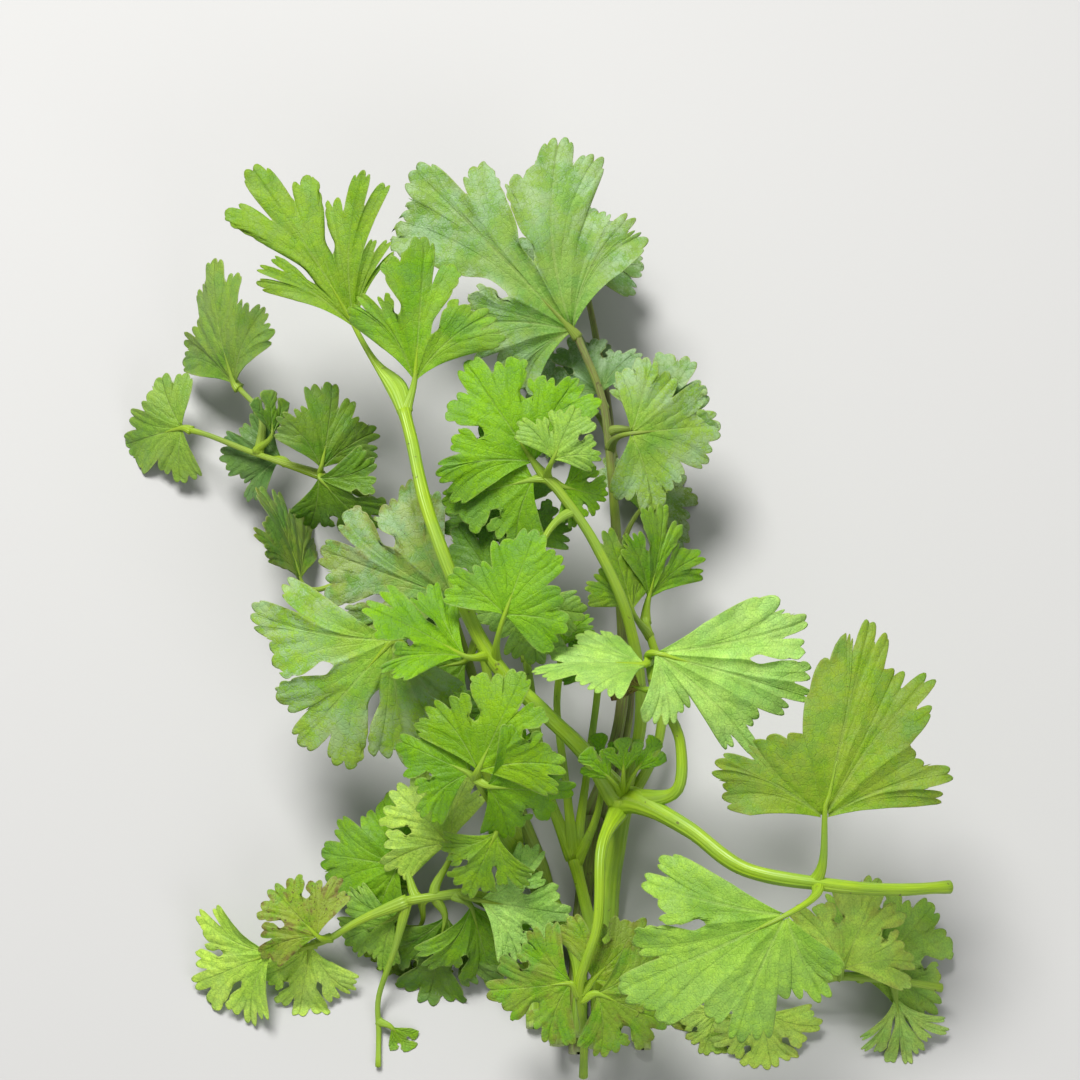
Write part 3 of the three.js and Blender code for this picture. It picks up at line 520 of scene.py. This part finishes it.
def margin_columns(form, length, seed, fine):
    """The blade's columns, each from the base to one point of the toothed margin."""
    lobes, teeth = form.lobes, form.teeth
    steep = steep_samples(CUT_POINTS * fine)
    borders = [(form.spread[0], length * LOWER_REACH, OUTER)]
    for (c0, r0, h0), (c1, r1, h1), depth in zip(lobes, lobes[1:], form.cuts):
        profile = CUT if depth > DEEP_CUT else form.shallow
        borders.append(((c0 + h0 + c1 - h1) / 2, length * min(r0, r1) * (1 - depth), profile))
    borders.append((form.spread[1], length * LOWER_REACH, OUTER))
    rows = []
    for number, (centre, reach, half) in enumerate(lobes):
        step = half * TOOTH_SPACING
        tips = []
        for t in range(teeth):
            side = t - (teeth - 1) / 2
            wobble = 1 + TIP_UNEVENNESS * math.sin(seed * 7.1 + number * 2.3 + t * 4.7)
            loss = 1 - OUTER_TIP_LOSS * abs(side)
            tips.append((centre + side * step, length * reach * wobble * loss))
        left, right = borders[number], borders[number + 1]
        edges = [left]
        for t in range(1, teeth):
            uneven = 1 + NOTCH_UNEVENNESS * math.sin(seed * 3.3 + number * 5.1 + t * 2.9)
            edges.append((tips[t][0] - step / 2, tips[t][1] * (1 - form.tooth * uneven), NOTCH))
        edges.append(right)
        for t, (tip_angle, tip_radius) in enumerate(tips):
            low, high = edges[t], edges[t + 1]
            width = abs(high[0] - low[0]) * DEGREE * tip_radius
            small = int(np.clip(round(width / TOOTH_WIDTH), FEWEST_TEETH, MOST_TEETH))
            small = 1 if teeth == 1 else small
            values = tooth_samples(small, fine > 1)
            if low[2] is CUT:
                values = np.concatenate([-steep[::-1], values[values > -steep[0]]])
            if high[2] is CUT:
                values = np.concatenate([values[values < steep[0]], steep])
            if t > 0 or number > 0:
                values = values[1:]
            deepest = min(TOOTH_DEPTH * width / small, TOOTH_DEPTH_LIMIT * length)
            for value in values:
                phase = (value + 1) / 2 * small
                edge = low if value < 0 else high
                x = abs(value)
                angle = tip_angle + (edge[0] - tip_angle) * x
                scallop = abs(2 * (phase % 1) - 1)**TOOTH_POINT if x < 0.999 else 0.0
                fade = 1 if edge[2] is NOTCH else 1 - min(1, max(0, (x - 0.55) / 0.35))
                uneven = math.sin(seed * 1.7 + 2.1 * math.floor(phase + 0.5) + 5 * t + 3 * number)
                depth = deepest * (0.8 + 0.35 * uneven)
                fallen = (tip_radius - edge[1]) * drop(x, *edge[2])
                radius = tip_radius - fallen - depth * scallop * fade
                beside, outer_tip = (left, tips[0]) if angle < centre else (right, tips[-1])
                extent = abs(beside[0] - centre)
                rows.append((
                    angle, max(radius, LEAST_RADIUS * length), centre, extent, tip_angle,
                    abs(edge[0] - tip_angle), number, beside[1], outer_tip[1],
                    float(beside[2] is CUT), abs(outer_tip[0] - centre) / extent))
    return np.array(rows)


def spread_out(offset, extent, bunching):
    """Draws an angle towards its vein: all the more the closer to the base it is."""
    share = np.clip(np.abs(offset) / np.maximum(extent, 1e-6), 0, 1)
    return np.sign(offset) * extent * (0.85 * share**bunching + 0.15 * share)


# rings of points from base (0) to margin (1), for small and for large blades
RING_SETS = {
    1: [0.06, 0.2, 0.38, 0.56, 0.72, 0.86, 0.96, 1.0],
    2: [0.05, 0.13, 0.22, 0.32, 0.42, 0.52, 0.62, 0.71, 0.8, 0.88, 0.94, 0.98, 1.0],
}


def lay_out(blade, seed):
    """The blade in its own plane, one row for each column, s running from base to margin."""
    form, length = FORMS[blade.form], blade.length
    fine = 2 if length > FINE_LENGTH else 1
    columns = margin_columns(form, length, seed, fine)
    s = np.array(RING_SETS[fine])[None, :]
    (theta, radius, centre, extent, tip, tip_extent, number, cut_radius, lobe_top, is_cut,
     shoulder) = [c[:, None] for c in columns.T]
    offset = spread_out(theta - tip, tip_extent, 1 + 1.4 * (1 - s))
    bunching = 1 + 2.6 * (1 - s)**1.3
    angle = centre + spread_out(tip + offset - centre, extent, bunching)
    r = s * radius

    # the cut between two lobes: a rounded end, nearly closed above it, open at the margin
    share = np.clip((r - cut_radius) / np.maximum(lobe_top - cut_radius, 1e-3), -1, 2)
    place = r / TOOTH_WIDTH + 0.3 * np.sign(angle - centre) + seed * 0.37
    toothed = (1 - np.abs(np.sin(np.pi * place)))**1.4
    shut, closed, opening, opened = form.closing
    close = ease(share, shut, closed) * (1 - ease(share, opening, opened))
    close = close * (CLOSED - OPENED_BY_TEETH * toothed * ease(share, 0.5, 0.7))
    margin_at = (1 - np.clip(share, 0, 1)**(1 / CUT[1]))**(1 / CUT[0])
    margin_at = shoulder + (1 - shoulder) * margin_at
    near = ease(np.abs(angle - centre) / extent / margin_at, 0.4, 1)
    hole = HOLE_WIDTH * hump(share, HOLE_PLACE, HOLE_LENGTH)
    widen = 1 + is_cut * near * ((1 / margin_at - 1) * close - hole)
    angle = centre + (angle - centre) * widen

    pinched = angle * (1 - form.gather * np.clip(1 - r / length, 0, 1)) * DEGREE
    return SimpleNamespace(
        columns=columns, s=s, theta=theta * DEGREE, radius=radius, centre=centre, extent=extent,
        number=number, is_cut=is_cut, share=share, bunching=bunching, angle=angle, r=r,
        pinched=pinched, right=r * np.sin(pinched), forward=r * np.cos(pinched),
        size=length / TYPICAL_LENGTH)


def vein_distances(flat):
    """Distance in mm from the lobes' midribs and from the veins of their fingers."""
    def gap(target):
        return np.abs(flat.angle - target) * DEGREE * flat.r

    _, _, centre, extent, tip = flat.columns.T[:5]
    from_main = np.min([gap(c) for c in np.unique(centre)], axis=0)
    from_side = np.full_like(from_main, 99.0)
    fingers = {}
    for j in range(len(centre)):
        fingers.setdefault((centre[j], tip[j]), []).append(j)
    for (c, t), members in fingers.items():
        if abs(t - c) > 0.5:
            side_extent = extent[members[0] if t < c else members[-1]]
            vein = c + spread_out(np.array(t - c), side_extent, flat.bunching)
            own = centre == c
            from_side[own] = np.minimum(from_side[own], gap(vein)[own])
    return from_main, from_side + 3 * np.clip(0.25 - flat.s, 0, 1)


def side_branches(flat, seed):
    """The place between the side veins, which leave each midrib aslant: whole on a vein."""
    offset = (flat.angle - flat.centre) * DEGREE
    beside = flat.r * np.abs(np.sin(offset)) / flat.size
    along = flat.r * np.cos(offset) / flat.size
    branch = (along - VEIN_LEAN * beside - 0.02 * beside**2) / VEIN_SPACING
    return branch + 0.25 * np.sign(offset) + 0.37 * (seed + flat.number)


def relief(flat, blade, nearest_vein, rng):
    """How far each point is raised along the blade's normal, in mm."""
    length, s, size = blade.length, flat.s, flat.size
    x = np.clip((flat.angle - flat.centre) / flat.extent, -1, 1)
    phase = rng.uniform(0, 6.28, 8)
    wave = length * s**2 * (WAVE * np.sin(2.1 * flat.pinched * 1.3 + phase[0])
                            + SHORT_WAVE * np.sin(5.3 * flat.pinched + phase[1]))
    alternate = np.where(flat.number % 2 == 0, 1.0, -1.0)
    lobe_turn = alternate * 0.5 + np.sin(flat.number * 2.7 + phase[2]) * 0.5
    twist = flat.is_cut * length * TWIST * lobe_turn * x * np.clip(flat.share, 0, 1.2)**1.5
    cup = length * CUP * x**2 * s * (1 - 0.5 * s)
    pleats = FORMS[blade.form].pleats * size
    quilt = pleats * (1 - hump(nearest_vein, 0, 1.5 * size)) * np.clip(s * 3, 0, 1)
    ripple = (RIPPLE * size * np.sin(flat.right * 1.1 / size + phase[3])
              * np.sin(flat.forward * 0.9 / size + phase[4]) * s)
    ruffle = length * RUFFLE * s**3 * np.sin(flat.theta * 9 + phase[5])
    return wave + twist + cup + quilt + ripple + ruffle


def blade_faces(flat, blade, raised, from_main, from_side):
    """The points of the upper and the lower face, with ribs under the veins."""
    s, size = flat.s, flat.size
    step = 0.05
    middle = bend(flat.right, flat.forward, blade)
    beside = bend(flat.right + step, flat.forward, blade) - middle
    beyond = bend(flat.right, flat.forward + step, blade) - middle
    normal = np.cross(beside, beyond)
    normal /= np.linalg.norm(normal, axis=-1)[..., None]
    matrix = blade_matrix(blade)
    normal = normal @ matrix[:3, :3].T
    middle = placed(middle, matrix) + normal * raised[..., None]
    thick = EDGE_THICKNESS + MORE_INSIDE * np.clip((1 - s) * 8, 0, 1)
    thick = np.broadcast_to(thick * min(1, 0.6 + 0.4 * size), from_main.shape)
    rib = (MAIN_RIB * size * hump(from_main, 0, 0.45 * size) * (1 - 0.8 * s)
           + SIDE_RIB * size * hump(from_side, 0, 0.35 * size) * (1 - 0.6 * s))
    rib = rib * np.clip((1 - s) * 10, 0, 1)
    top = middle + normal * (thick / 2)[..., None]
    under = middle - normal * (thick / 2 + rib)[..., None]
    # where the blade would reach the table it lies flat on it
    under[..., 2] = np.maximum(under[..., 2], BLADE_GAP)
    top[..., 2] = np.maximum(top[..., 2], under[..., 2] + 0.1)
    return top, under


def margin_distance(flat):
    """How far each point is from the margin, in mm."""
    ends = np.hstack([flat.radius * np.sin(flat.theta), flat.radius * np.cos(flat.theta)])
    run = np.gradient(ends, axis=0)
    run /= np.maximum(np.linalg.norm(run, axis=1), 1e-6)[:, None]
    outward = ends / np.linalg.norm(ends, axis=1)[:, None]
    slant = np.abs(outward[:, 0] * run[:, 1] - outward[:, 1] * run[:, 0])
    return (1 - flat.s) * flat.radius * np.clip(slant, 0.12, 1)[:, None]


def grid_quads(index):
    corners = [index[:-1, :-1], index[:-1, 1:], index[1:, 1:], index[1:, :-1]]
    return np.stack(corners, -1).reshape(-1, 4)


def add_blade(piece, blade, seed, colour):
    rng = np.random.default_rng(seed * 13 + 5)
    flat = lay_out(blade, seed)
    from_main, from_side = vein_distances(flat)
    raised = relief(flat, blade, np.minimum(from_main, from_side + 0.4), rng)
    top, under = blade_faces(flat, blade, raised, from_main, from_side)

    total = from_main.size
    upper = np.arange(total).reshape(from_main.shape)
    rim = np.concatenate([upper[:, 0], upper[-1, 1:], upper[::-1, -1][1:], upper[0, ::-1][1:-1]])
    onward = np.roll(rim, -1)
    walls = np.stack([rim, rim + total, onward + total, onward], -1)
    quads = np.vstack([grid_quads(upper)[:, ::-1], grid_quads(upper + total), walls])
    points = np.vstack([top.reshape(-1, 3), under.reshape(-1, 3)])

    scale = max(flat.size, 0.5)
    veins = np.stack([from_main / scale, from_side / scale, side_branches(flat, seed)], -1)
    own_place = np.stack([flat.right, flat.forward, np.full_like(flat.right, seed * 17.3)], -1)
    out = np.broadcast_to(flat.s, from_main.shape)
    sides = np.repeat([1.0, 0.0], total)
    facts = np.stack([np.tile(out.ravel(), 2), np.tile(margin_distance(flat).ravel(), 2), sides], 1)
    tint = np.array(colour) * (1 + rng.uniform(-0.07, 0.07))
    piece.add(points, quads, veins=np.tile(veins.reshape(-1, 3), (2, 1)), blade=facts,
              flat=np.tile(own_place.reshape(-1, 3), (2, 1)), tint=np.tile(tint, (2 * total, 1)),
              age=np.full(2 * total, blade.age))


def petiolule_curve(curve, blade, number):
    """The little stalk from a stalk to a blade's base, arriving in line with the midrib."""
    root_at = blade.where - ROOT_STAGGER * (1 + number % 3)
    start = curve(root_at)[0]
    base = np.array(blade.base, float)
    inside = placed(np.array([0, blade.length * ROOT_DEPTH, 0]), blade_matrix(blade))
    reach = np.linalg.norm(start - base)
    arriving = (inside - base) / np.linalg.norm(inside - base)
    leaving = (1 - STALK_PULL) * (base - start) / reach + STALK_PULL * tangent(curve, root_at)
    leaving /= np.linalg.norm(leaving)
    return bezier(start, start + leaving * reach * LEAVING_SHARE,
                  base - arriving * reach * ARRIVING_SHARE, inside)


def midrib_points(blade):
    """The first stretch of the blade's main vein, which the little stalk runs out into."""
    form = FORMS[blade.form]
    centre = max(form.lobes, key=lambda lobe: lobe[1])[0]
    shares = np.linspace(ROOT_DEPTH + 0.05, MIDRIB_SHARE, 7)
    angle = centre * (1 - form.gather * (1 - shares)) * DEGREE
    distance = shares * blade.length
    points = bend(distance * np.sin(angle), distance * np.cos(angle), blade)
    return placed(points, blade_matrix(blade))


# ---- materials

class Nodes:
    """Short names for building a material's node tree."""

    def __init__(self, name):
        self.material = bpy.data.materials.new(name)
        self.material.use_nodes = True
        self.tree = self.material.node_tree
        self.tree.nodes.clear()

    def new(self, kind, **settings):
        node = self.tree.nodes.new(kind)
        for key, value in settings.items():
            setattr(node, key, value)
        return node

    def put(self, socket, value):
        if isinstance(value, bpy.types.NodeSocket):
            self.tree.links.new(value, socket)
        else:
            socket.default_value = (*value, 1) if isinstance(value, tuple) else value

    def fill(self, node, inputs):
        for key, value in inputs.items():
            self.put(node.inputs[key], value)
        return node.outputs[0]

    def node(self, kind, inputs, **settings):
        """A new node with these inputs set or linked, as its first output."""
        return self.fill(self.new(kind, **settings), inputs)

    def fact(self, name, output="Fac"):
        return self.new("ShaderNodeAttribute", attribute_name=name).outputs[output]

    def parts(self, name):
        """The three numbers of a vector attribute."""
        node = self.new("ShaderNodeSeparateXYZ")
        self.put(node.inputs[0], self.fact(name, "Vector"))
        return node.outputs

    def math(self, operation, a, b=0.0):
        return self.node("ShaderNodeMath", {0: a, 1: b}, operation=operation)

    def times(self, a, b):
        return self.math("MULTIPLY", a, b)

    def total(self, *rows):
        """The sum of fields, each times its weight."""
        result = 0.0
        for field, weight in rows:
            result = self.math("ADD", result, self.times(field, weight))
        return result

    def span(self, value, low, high, to_low=0.0, to_high=1.0, kind="SMOOTHSTEP"):
        limits = {"From Min": low, "From Max": high, "To Min": to_low, "To Max": to_high}
        return self.node("ShaderNodeMapRange", {"Value": value, **limits}, interpolation_type=kind)

    def mix(self, factor, a, b, blend="MIX"):
        node = self.new("ShaderNodeMix", data_type="RGBA", blend_type=blend)
        self.fill(node, {"Factor": factor, "A": a, "B": b})
        return node.outputs["Result"]

    def filtered(self, factor, colour, filter_colour):
        return self.mix(factor, colour, filter_colour, "MULTIPLY")

    def noise(self, vector, scale, detail=2.0, roughness=0.5):
        inputs = {"Vector": vector, "Scale": scale, "Detail": detail, "Roughness": roughness}
        return self.node("ShaderNodeTexNoise", inputs)

    def cell_borders(self, vector, scale, width):
        """A net of fine lines, 1 on a line."""
        inputs = {"Vector": vector, "Scale": scale}
        distance = self.node("ShaderNodeTexVoronoi", inputs, feature="DISTANCE_TO_EDGE")
        return self.span(distance, 0.0, width, 1.0, 0.0)

    def finish(self, colour, roughness, specular, height, strength, filter_colour, glow, leafy):
        """Ends the tree: a skin with relief, and light that shines through it."""
        inputs = {"Height": height, "Strength": strength, "Distance": 0.0002}
        bump = self.node("ShaderNodeBump", inputs)
        skin = self.new("ShaderNodeBsdfPrincipled")
        skin.inputs["Specular IOR Level"].default_value = specular
        if leafy:
            skin.inputs["Sheen Weight"].default_value = 0.02
            skin.inputs["Sheen Roughness"].default_value = 0.6
        self.fill(skin, {"Base Color": colour, "Roughness": roughness, "Normal": bump})
        through = self.new("ShaderNodeBsdfTranslucent")
        self.put(through.inputs["Color"], self.filtered(1.0, colour, filter_colour))
        if leafy:
            self.put(through.inputs["Normal"], bump)
        inputs = {0: glow, 1: skin.outputs[0], 2: through.outputs[0]}
        output = self.new("ShaderNodeOutputMaterial")
        self.put(output.inputs["Surface"], self.node("ShaderNodeMixShader", inputs))
        return self.material


# a pale bluish grey that is painted on the blades as a reflection of the sky
PAINTED_SKY_REFLECTION = (0.44, 0.6, 0.4)
PALE_VEIN = (0.42, 0.52, 0.2)
UNDERSIDE, UNDERSIDE_VEIN = (0.3, 0.42, 0.24), (0.46, 0.56, 0.32)
YELLOWED, SPECK = (0.46, 0.46, 0.08), (0.12, 0.07, 0.03)
MARGIN, SCORCHED = (0.42, 0.44, 0.16), (0.2, 0.11, 0.05)


def leaf_material(name, roughness, glow, reflection_strength):
    """Noise and nets are laid over the flat blade, so their scales are per millimetre."""
    n = Nodes(name)
    tint, flat, age = n.fact("tint", "Color"), n.fact("flat", "Vector"), n.fact("age")
    from_main, from_side, branch = n.parts("veins")
    out, edge, upper = n.parts("blade")
    broad = n.noise(flat, 0.11)
    patches = n.noise(flat, 0.42, 3.0, 0.6)
    fine = n.noise(flat, 2.6, 3.0, 0.65)
    main = n.span(from_main, 0.1, 0.5, 1.0, 0.0)
    side = n.span(from_side, 0.05, 0.34, 1.0, 0.0)
    warped = n.math("ADD", branch, n.times(n.noise(flat, 0.2), 1.4))
    between = n.math("ABSOLUTE", n.math("SUBTRACT", n.math("FRACT", warped), 0.5))
    branches = n.span(between, 0.455, 0.5)
    pillow = n.span(between, 0.5, 0.1)
    net = n.cell_borders(flat, 0.62, 0.1)
    mesh = n.cell_borders(flat, 1.7, 0.16)

    # the lamina: lighter and darker patches, broad painted shade, yellower towards the base, fine
    # mottling
    colour = n.filtered(n.span(broad, 0.3, 0.7, 0.0, 0.5), tint, (1.05, 1.05, 0.78))
    colour = n.filtered(n.span(patches, 0.4, 0.66, 0.0, 0.75), colour, (1.3, 1.2, 1.22))
    colour = n.filtered(n.span(fine, 0.35, 0.62, 0.6, 0.0), colour, (0.56, 0.68, 0.5))
    # painted shade: broad darker patches that stand in for shade falling across the blades
    painted_shade = n.span(n.noise(flat, 0.09, 1.0), 0.45, 0.7, 0.0, 0.75)
    colour = n.filtered(painted_shade, colour, (0.6, 0.74, 0.46))
    colour = n.filtered(n.span(out, 0.05, 0.4, 0.45, 0.0), colour, (1.12, 1.1, 0.5))

    # painted sky reflection: a pale bluish grey painted over the outer parts of some stretches,
    # strongest on the grey leaves
    cloudy = n.times(n.math("ADD", broad, n.math("ADD", patches, fine)), 1 / 3)
    painted_reflection = n.times(n.span(out, 0.3, 0.9, 0.0, reflection_strength), n.span(cloudy, 0.56, 0.44))
    colour = n.mix(painted_reflection, colour, PAINTED_SKY_REFLECTION)

    # veins: pale near the base and fine dark lines further out, a net between them
    dark = n.filtered(1.0, colour, (0.58, 0.64, 0.46))
    vein = n.mix(n.span(out, 0.35, 0.85), n.mix(0.55, colour, PALE_VEIN), dark)
    for lines, strength, line_colour in (
            (net, 0.17, dark), (mesh, 0.16, dark), (branches, 0.24, vein), (side, 0.18, vein),
            (main, 0.45, vein)):
        colour = n.mix(n.times(lines, strength), colour, line_colour)

    # the underside is paler and greyer, its veins lighter still
    back_veins = n.math("MAXIMUM", n.times(main, 0.8), n.times(side, 0.55))
    back = n.mix(back_veins, n.mix(0.5, colour, UNDERSIDE), UNDERSIDE_VEIN)
    colour = n.mix(upper, back, colour)

    # age: yellowing in patches, brown specks, a pale or brown margin
    yellowed = n.times(n.span(n.noise(flat, 0.16, 3.0, 0.6), 0.62, 0.4), age)
    colour = n.mix(n.times(yellowed, 0.5), colour, YELLOWED)
    speck_limit = n.span(age, 0.0, 1.0, 0.76, 0.58, "LINEAR")
    specks = n.span(n.math("SUBTRACT", n.noise(flat, 1.5, 3.0, 0.7), speck_limit), 0.0, 0.05)
    colour = n.mix(n.times(specks, 0.8), colour, SPECK)
    colour = n.mix(n.times(n.span(edge, 0.04, 0.3, 1.0, 0.0), 0.3), colour, MARGIN)
    scorched = n.times(n.span(edge, 0.1, 2.4, 1.0, 0.0), n.times(age, age))
    colour = n.mix(n.times(scorched, n.span(patches, 0.45, 0.6)), colour, SCORCHED)

    # relief: sunken veins, the raised lamina between them, fine grain
    furrows = n.math("MAXIMUM", main, n.times(side, 0.5))
    height = n.total((furrows, -0.6), (branches, -0.25), (pillow, 0.65), (net, -0.36),
                     (mesh, -0.18), (fine, 0.5), (patches, 0.9))
    gloss = n.span(patches, 0.3, 0.7, roughness - 0.07, roughness + 0.09)
    return n.finish(colour, gloss, 0.3, height, 0.7, (1.35, 1.5, 0.55), glow, True)


def stalk_material(name):
    n = Nodes(name)
    along, around, cut = n.parts("stalk")
    purple = n.fact("tone")
    position = n.new("ShaderNodeTexCoord").outputs["Object"]
    ring = n.times(around, 2 * math.pi)
    inputs = {0: n.times(along, 0.06)}
    for axis, wave in ((1, "COSINE"), (2, "SINE")):
        inputs[axis] = n.times(n.math(wave, ring), 1.6)
    streaks = n.noise(n.node("ShaderNodeCombineXYZ", inputs), 2.2, 3.0, 0.6)
    patches = n.noise(position, 70.0, 3.0, 0.6)
    specks = n.noise(position, 420.0, 2.0, 0.6)
    ribs = n.math("COSINE", n.times(ring, 14.0))

    colour = n.mix(n.span(streaks, 0.3, 0.7), (0.25, 0.43, 0.006), (0.37, 0.55, 0.02))
    colour = n.mix(n.span(patches, 0.35, 0.7, 0.0, 0.6), colour, (0.22, 0.4, 0.05))
    colour = n.mix(n.span(ribs, 0.2, 1.0, 0.0, 0.1), colour, (0.5, 0.64, 0.1))
    dusk = n.mix(n.span(streaks, 0.35, 0.65), (0.2, 0.27, 0.06), (0.13, 0.07, 0.05))
    colour = n.mix(n.times(purple, n.span(patches, 0.2, 0.6, 0.45, 1.0)), colour, dusk)
    colour = n.mix(n.span(specks, 0.68, 0.74, 0.0, 0.7), colour, (0.1, 0.07, 0.03))
    flesh = n.mix(n.span(specks, 0.3, 0.7), (0.62, 0.7, 0.36), (0.5, 0.6, 0.24))
    colour = n.mix(cut, colour, flesh)
    height = n.total((ribs, 0.5), (streaks, 1.0), (patches, 0.6))
    gloss = n.span(patches, 0.3, 0.7, 0.38, 0.5)
    return n.finish(colour, gloss, 0.5, height, 0.4, (1.2, 1.3, 0.6), 0.16, False)


def linear(red, green, blue):
    """A linear colour from one given as 0..255 display values."""
    shares = (red / 255, green / 255, blue / 255)
    return tuple(v / 12.92 if v < 0.0404 else ((v + 0.055) / 1.055)**2.4 for v in shares)


# ---- the bunch

def add_stalk(piece, stalk, curve, number, tone):
    """A main stalk: swollen at its end, widened to a sheath where it leaves its parent."""
    path, run = even_samples(curve, STALK_STEP)
    radii = stalk.start_radius + (stalk.end_radius - stalk.start_radius) * (run / run[-1])
    thick = stalk.start_radius > THICK_STALK
    sheath = hump(run, 0, SHEATH_LENGTH) if stalk.parent else np.zeros(len(run))
    swell = (1 + END_SWELL * hump(run, run[-1], END_LENGTH)) * (1 + SHEATH_SWELL * sheath)
    radii = radii * swell * (1 + 0.025 * np.sin(run * 0.45 + number))
    sides, ridges, ribs = (28, 0.016, 9) if thick else (16, 0.03, 5)
    wide = 1 + SHEATH_WIDTH * sheath
    add_tube(piece, path, run, radii, sides, ridges, ribs, wide, tone, stalk.parent is None)


def add_petiolule(piece, blade, curve, number, tone):
    """A blade's little stalk, with a torn sheath below the blades of the slit form."""
    path, run = even_samples(petiolule_curve(curve, blade, number), PETIOLULE_STEP, 8)
    size = min(1.0, 0.62 + blade.length / 80)
    midrib = midrib_points(blade)
    radii = np.append(1.0 - 0.42 * run / run[-1], np.linspace(0.5, 0.12, len(midrib))) * size
    path = np.vstack([path, midrib])
    run = distances(path)
    sheath = (TORN_SHEATH if blade.form == "slit" else 0) * hump(run, TORN_PLACE, TORN_LENGTH)
    wide = 1 + 0.5 * hump(run, 0, 5.0) + sheath
    path = path - carried_frames(path)[2] * (0.8 * radii * sheath)[:, None]
    add_tube(piece, path, run, radii, 12, 0.04, 4, wide, tone)


def build_plant(plant, number, leaf_surface, stalk_surface):
    stalk_piece, leaf_piece = Piece(), Piece()
    stalks = [Stalk(*row) for row in plant.stalks]
    curves = stalk_curves(stalks)
    for stalk in stalks:
        add_stalk(stalk_piece, stalk, curves[stalk.name], number, plant.tone)
    for i, row in enumerate(plant.blades):
        blade = Blade(*row)
        add_blade(leaf_piece, blade, number * 20 + i, linear(*TONES[blade.tone]))
        add_petiolule(stalk_piece, blade, curves[blade.stalk], i, plant.tone * 0.6)
    stalk_piece.build(plant.name + "_stalks", stalk_surface, plant.name, "stalk_green")
    leaf_piece.build(plant.name + "_leaves", leaf_surface, plant.name, plant.slot)


# roughness, how much light shines through, and how strong the painted sky reflection is
LEAF_LOOKS = {
    "leaf_fresh": (0.5, 0.34, 0.1), "leaf_grey": (0.5, 0.24, 0.55),
    "leaf_bright": (0.46, 0.36, 0.1), "leaf_deep": (0.44, 0.24, 0.1),
    "leaf_yellowing": (0.56, 0.34, 0.1),
}
leaf_surfaces = {name: leaf_material(name, *look) for name, look in LEAF_LOOKS.items()}
stalk_surface = stalk_material("stalk_green")
for number, plant in enumerate(PLANTS):
    build_plant(plant, number, leaf_surfaces[plant.slot], stalk_surface)


# ---- floor, light and camera, in metres

FLOOR_HALF = 3
GREY = (0.46, 0.46, 0.46)
BUNCH_MIDDLE = (0, 0, 0.03)

floor_mesh = bpy.data.meshes.new("floor")
h = FLOOR_HALF
floor_mesh.from_pydata([(-h, -h, 0), (h, -h, 0), (h, h, 0), (-h, h, 0)], [], [(0, 1, 2, 3)])
floor = new_object("floor", floor_mesh)
paper = Nodes("paper")
paper_bsdf = paper.new("ShaderNodeBsdfPrincipled")
paper.fill(paper_bsdf, {"Base Color": GREY, "Roughness": 0.7, "Specular IOR Level": 0.2})
paper.put(paper.new("ShaderNodeOutputMaterial").inputs["Surface"], paper_bsdf.outputs[0])
floor_mesh.materials.append(paper.material)


def soft_light(name, place, size, power, colour):
    """A round lamp that looks at the bunch."""
    data = bpy.data.lights.new(name, "AREA")
    data.shape = "DISK"
    data.size = size
    data.energy = power
    data.color = colour
    lamp = new_object(name, data)
    lamp.location = place
    lamp.rotation_mode = "QUATERNION"
    lamp.rotation_quaternion = (Vector(BUNCH_MIDDLE) - Vector(place)).to_track_quat("-Z", "Y")


soft_light("sky", (-0.25, 0.55, 1.1), 0.55, 22.8, (1.0, 0.99, 0.96))
soft_light("front", (0.5, -0.8, 0.7), 0.7, 3, (1, 1, 1))
world = bpy.data.worlds.new("studio")
world.use_nodes = True
background = world.node_tree.nodes["Background"]
background.inputs["Color"].default_value = (1.0, 1.0, 1.0, 1)
background.inputs["Strength"].default_value = 0.36
bpy.context.scene.world = world

camera_data = bpy.data.cameras.new("camera")
camera_data.sensor_width = 36
camera_data.lens = 90.27
camera = new_object("camera", camera_data)
camera.location = (0.0038, -0.2099, 0.6408)
camera.rotation_euler = (20 * DEGREE, 0, 0)
bpy.context.scene.camera = camera
bpy.context.scene.view_settings.view_transform = "Standard"
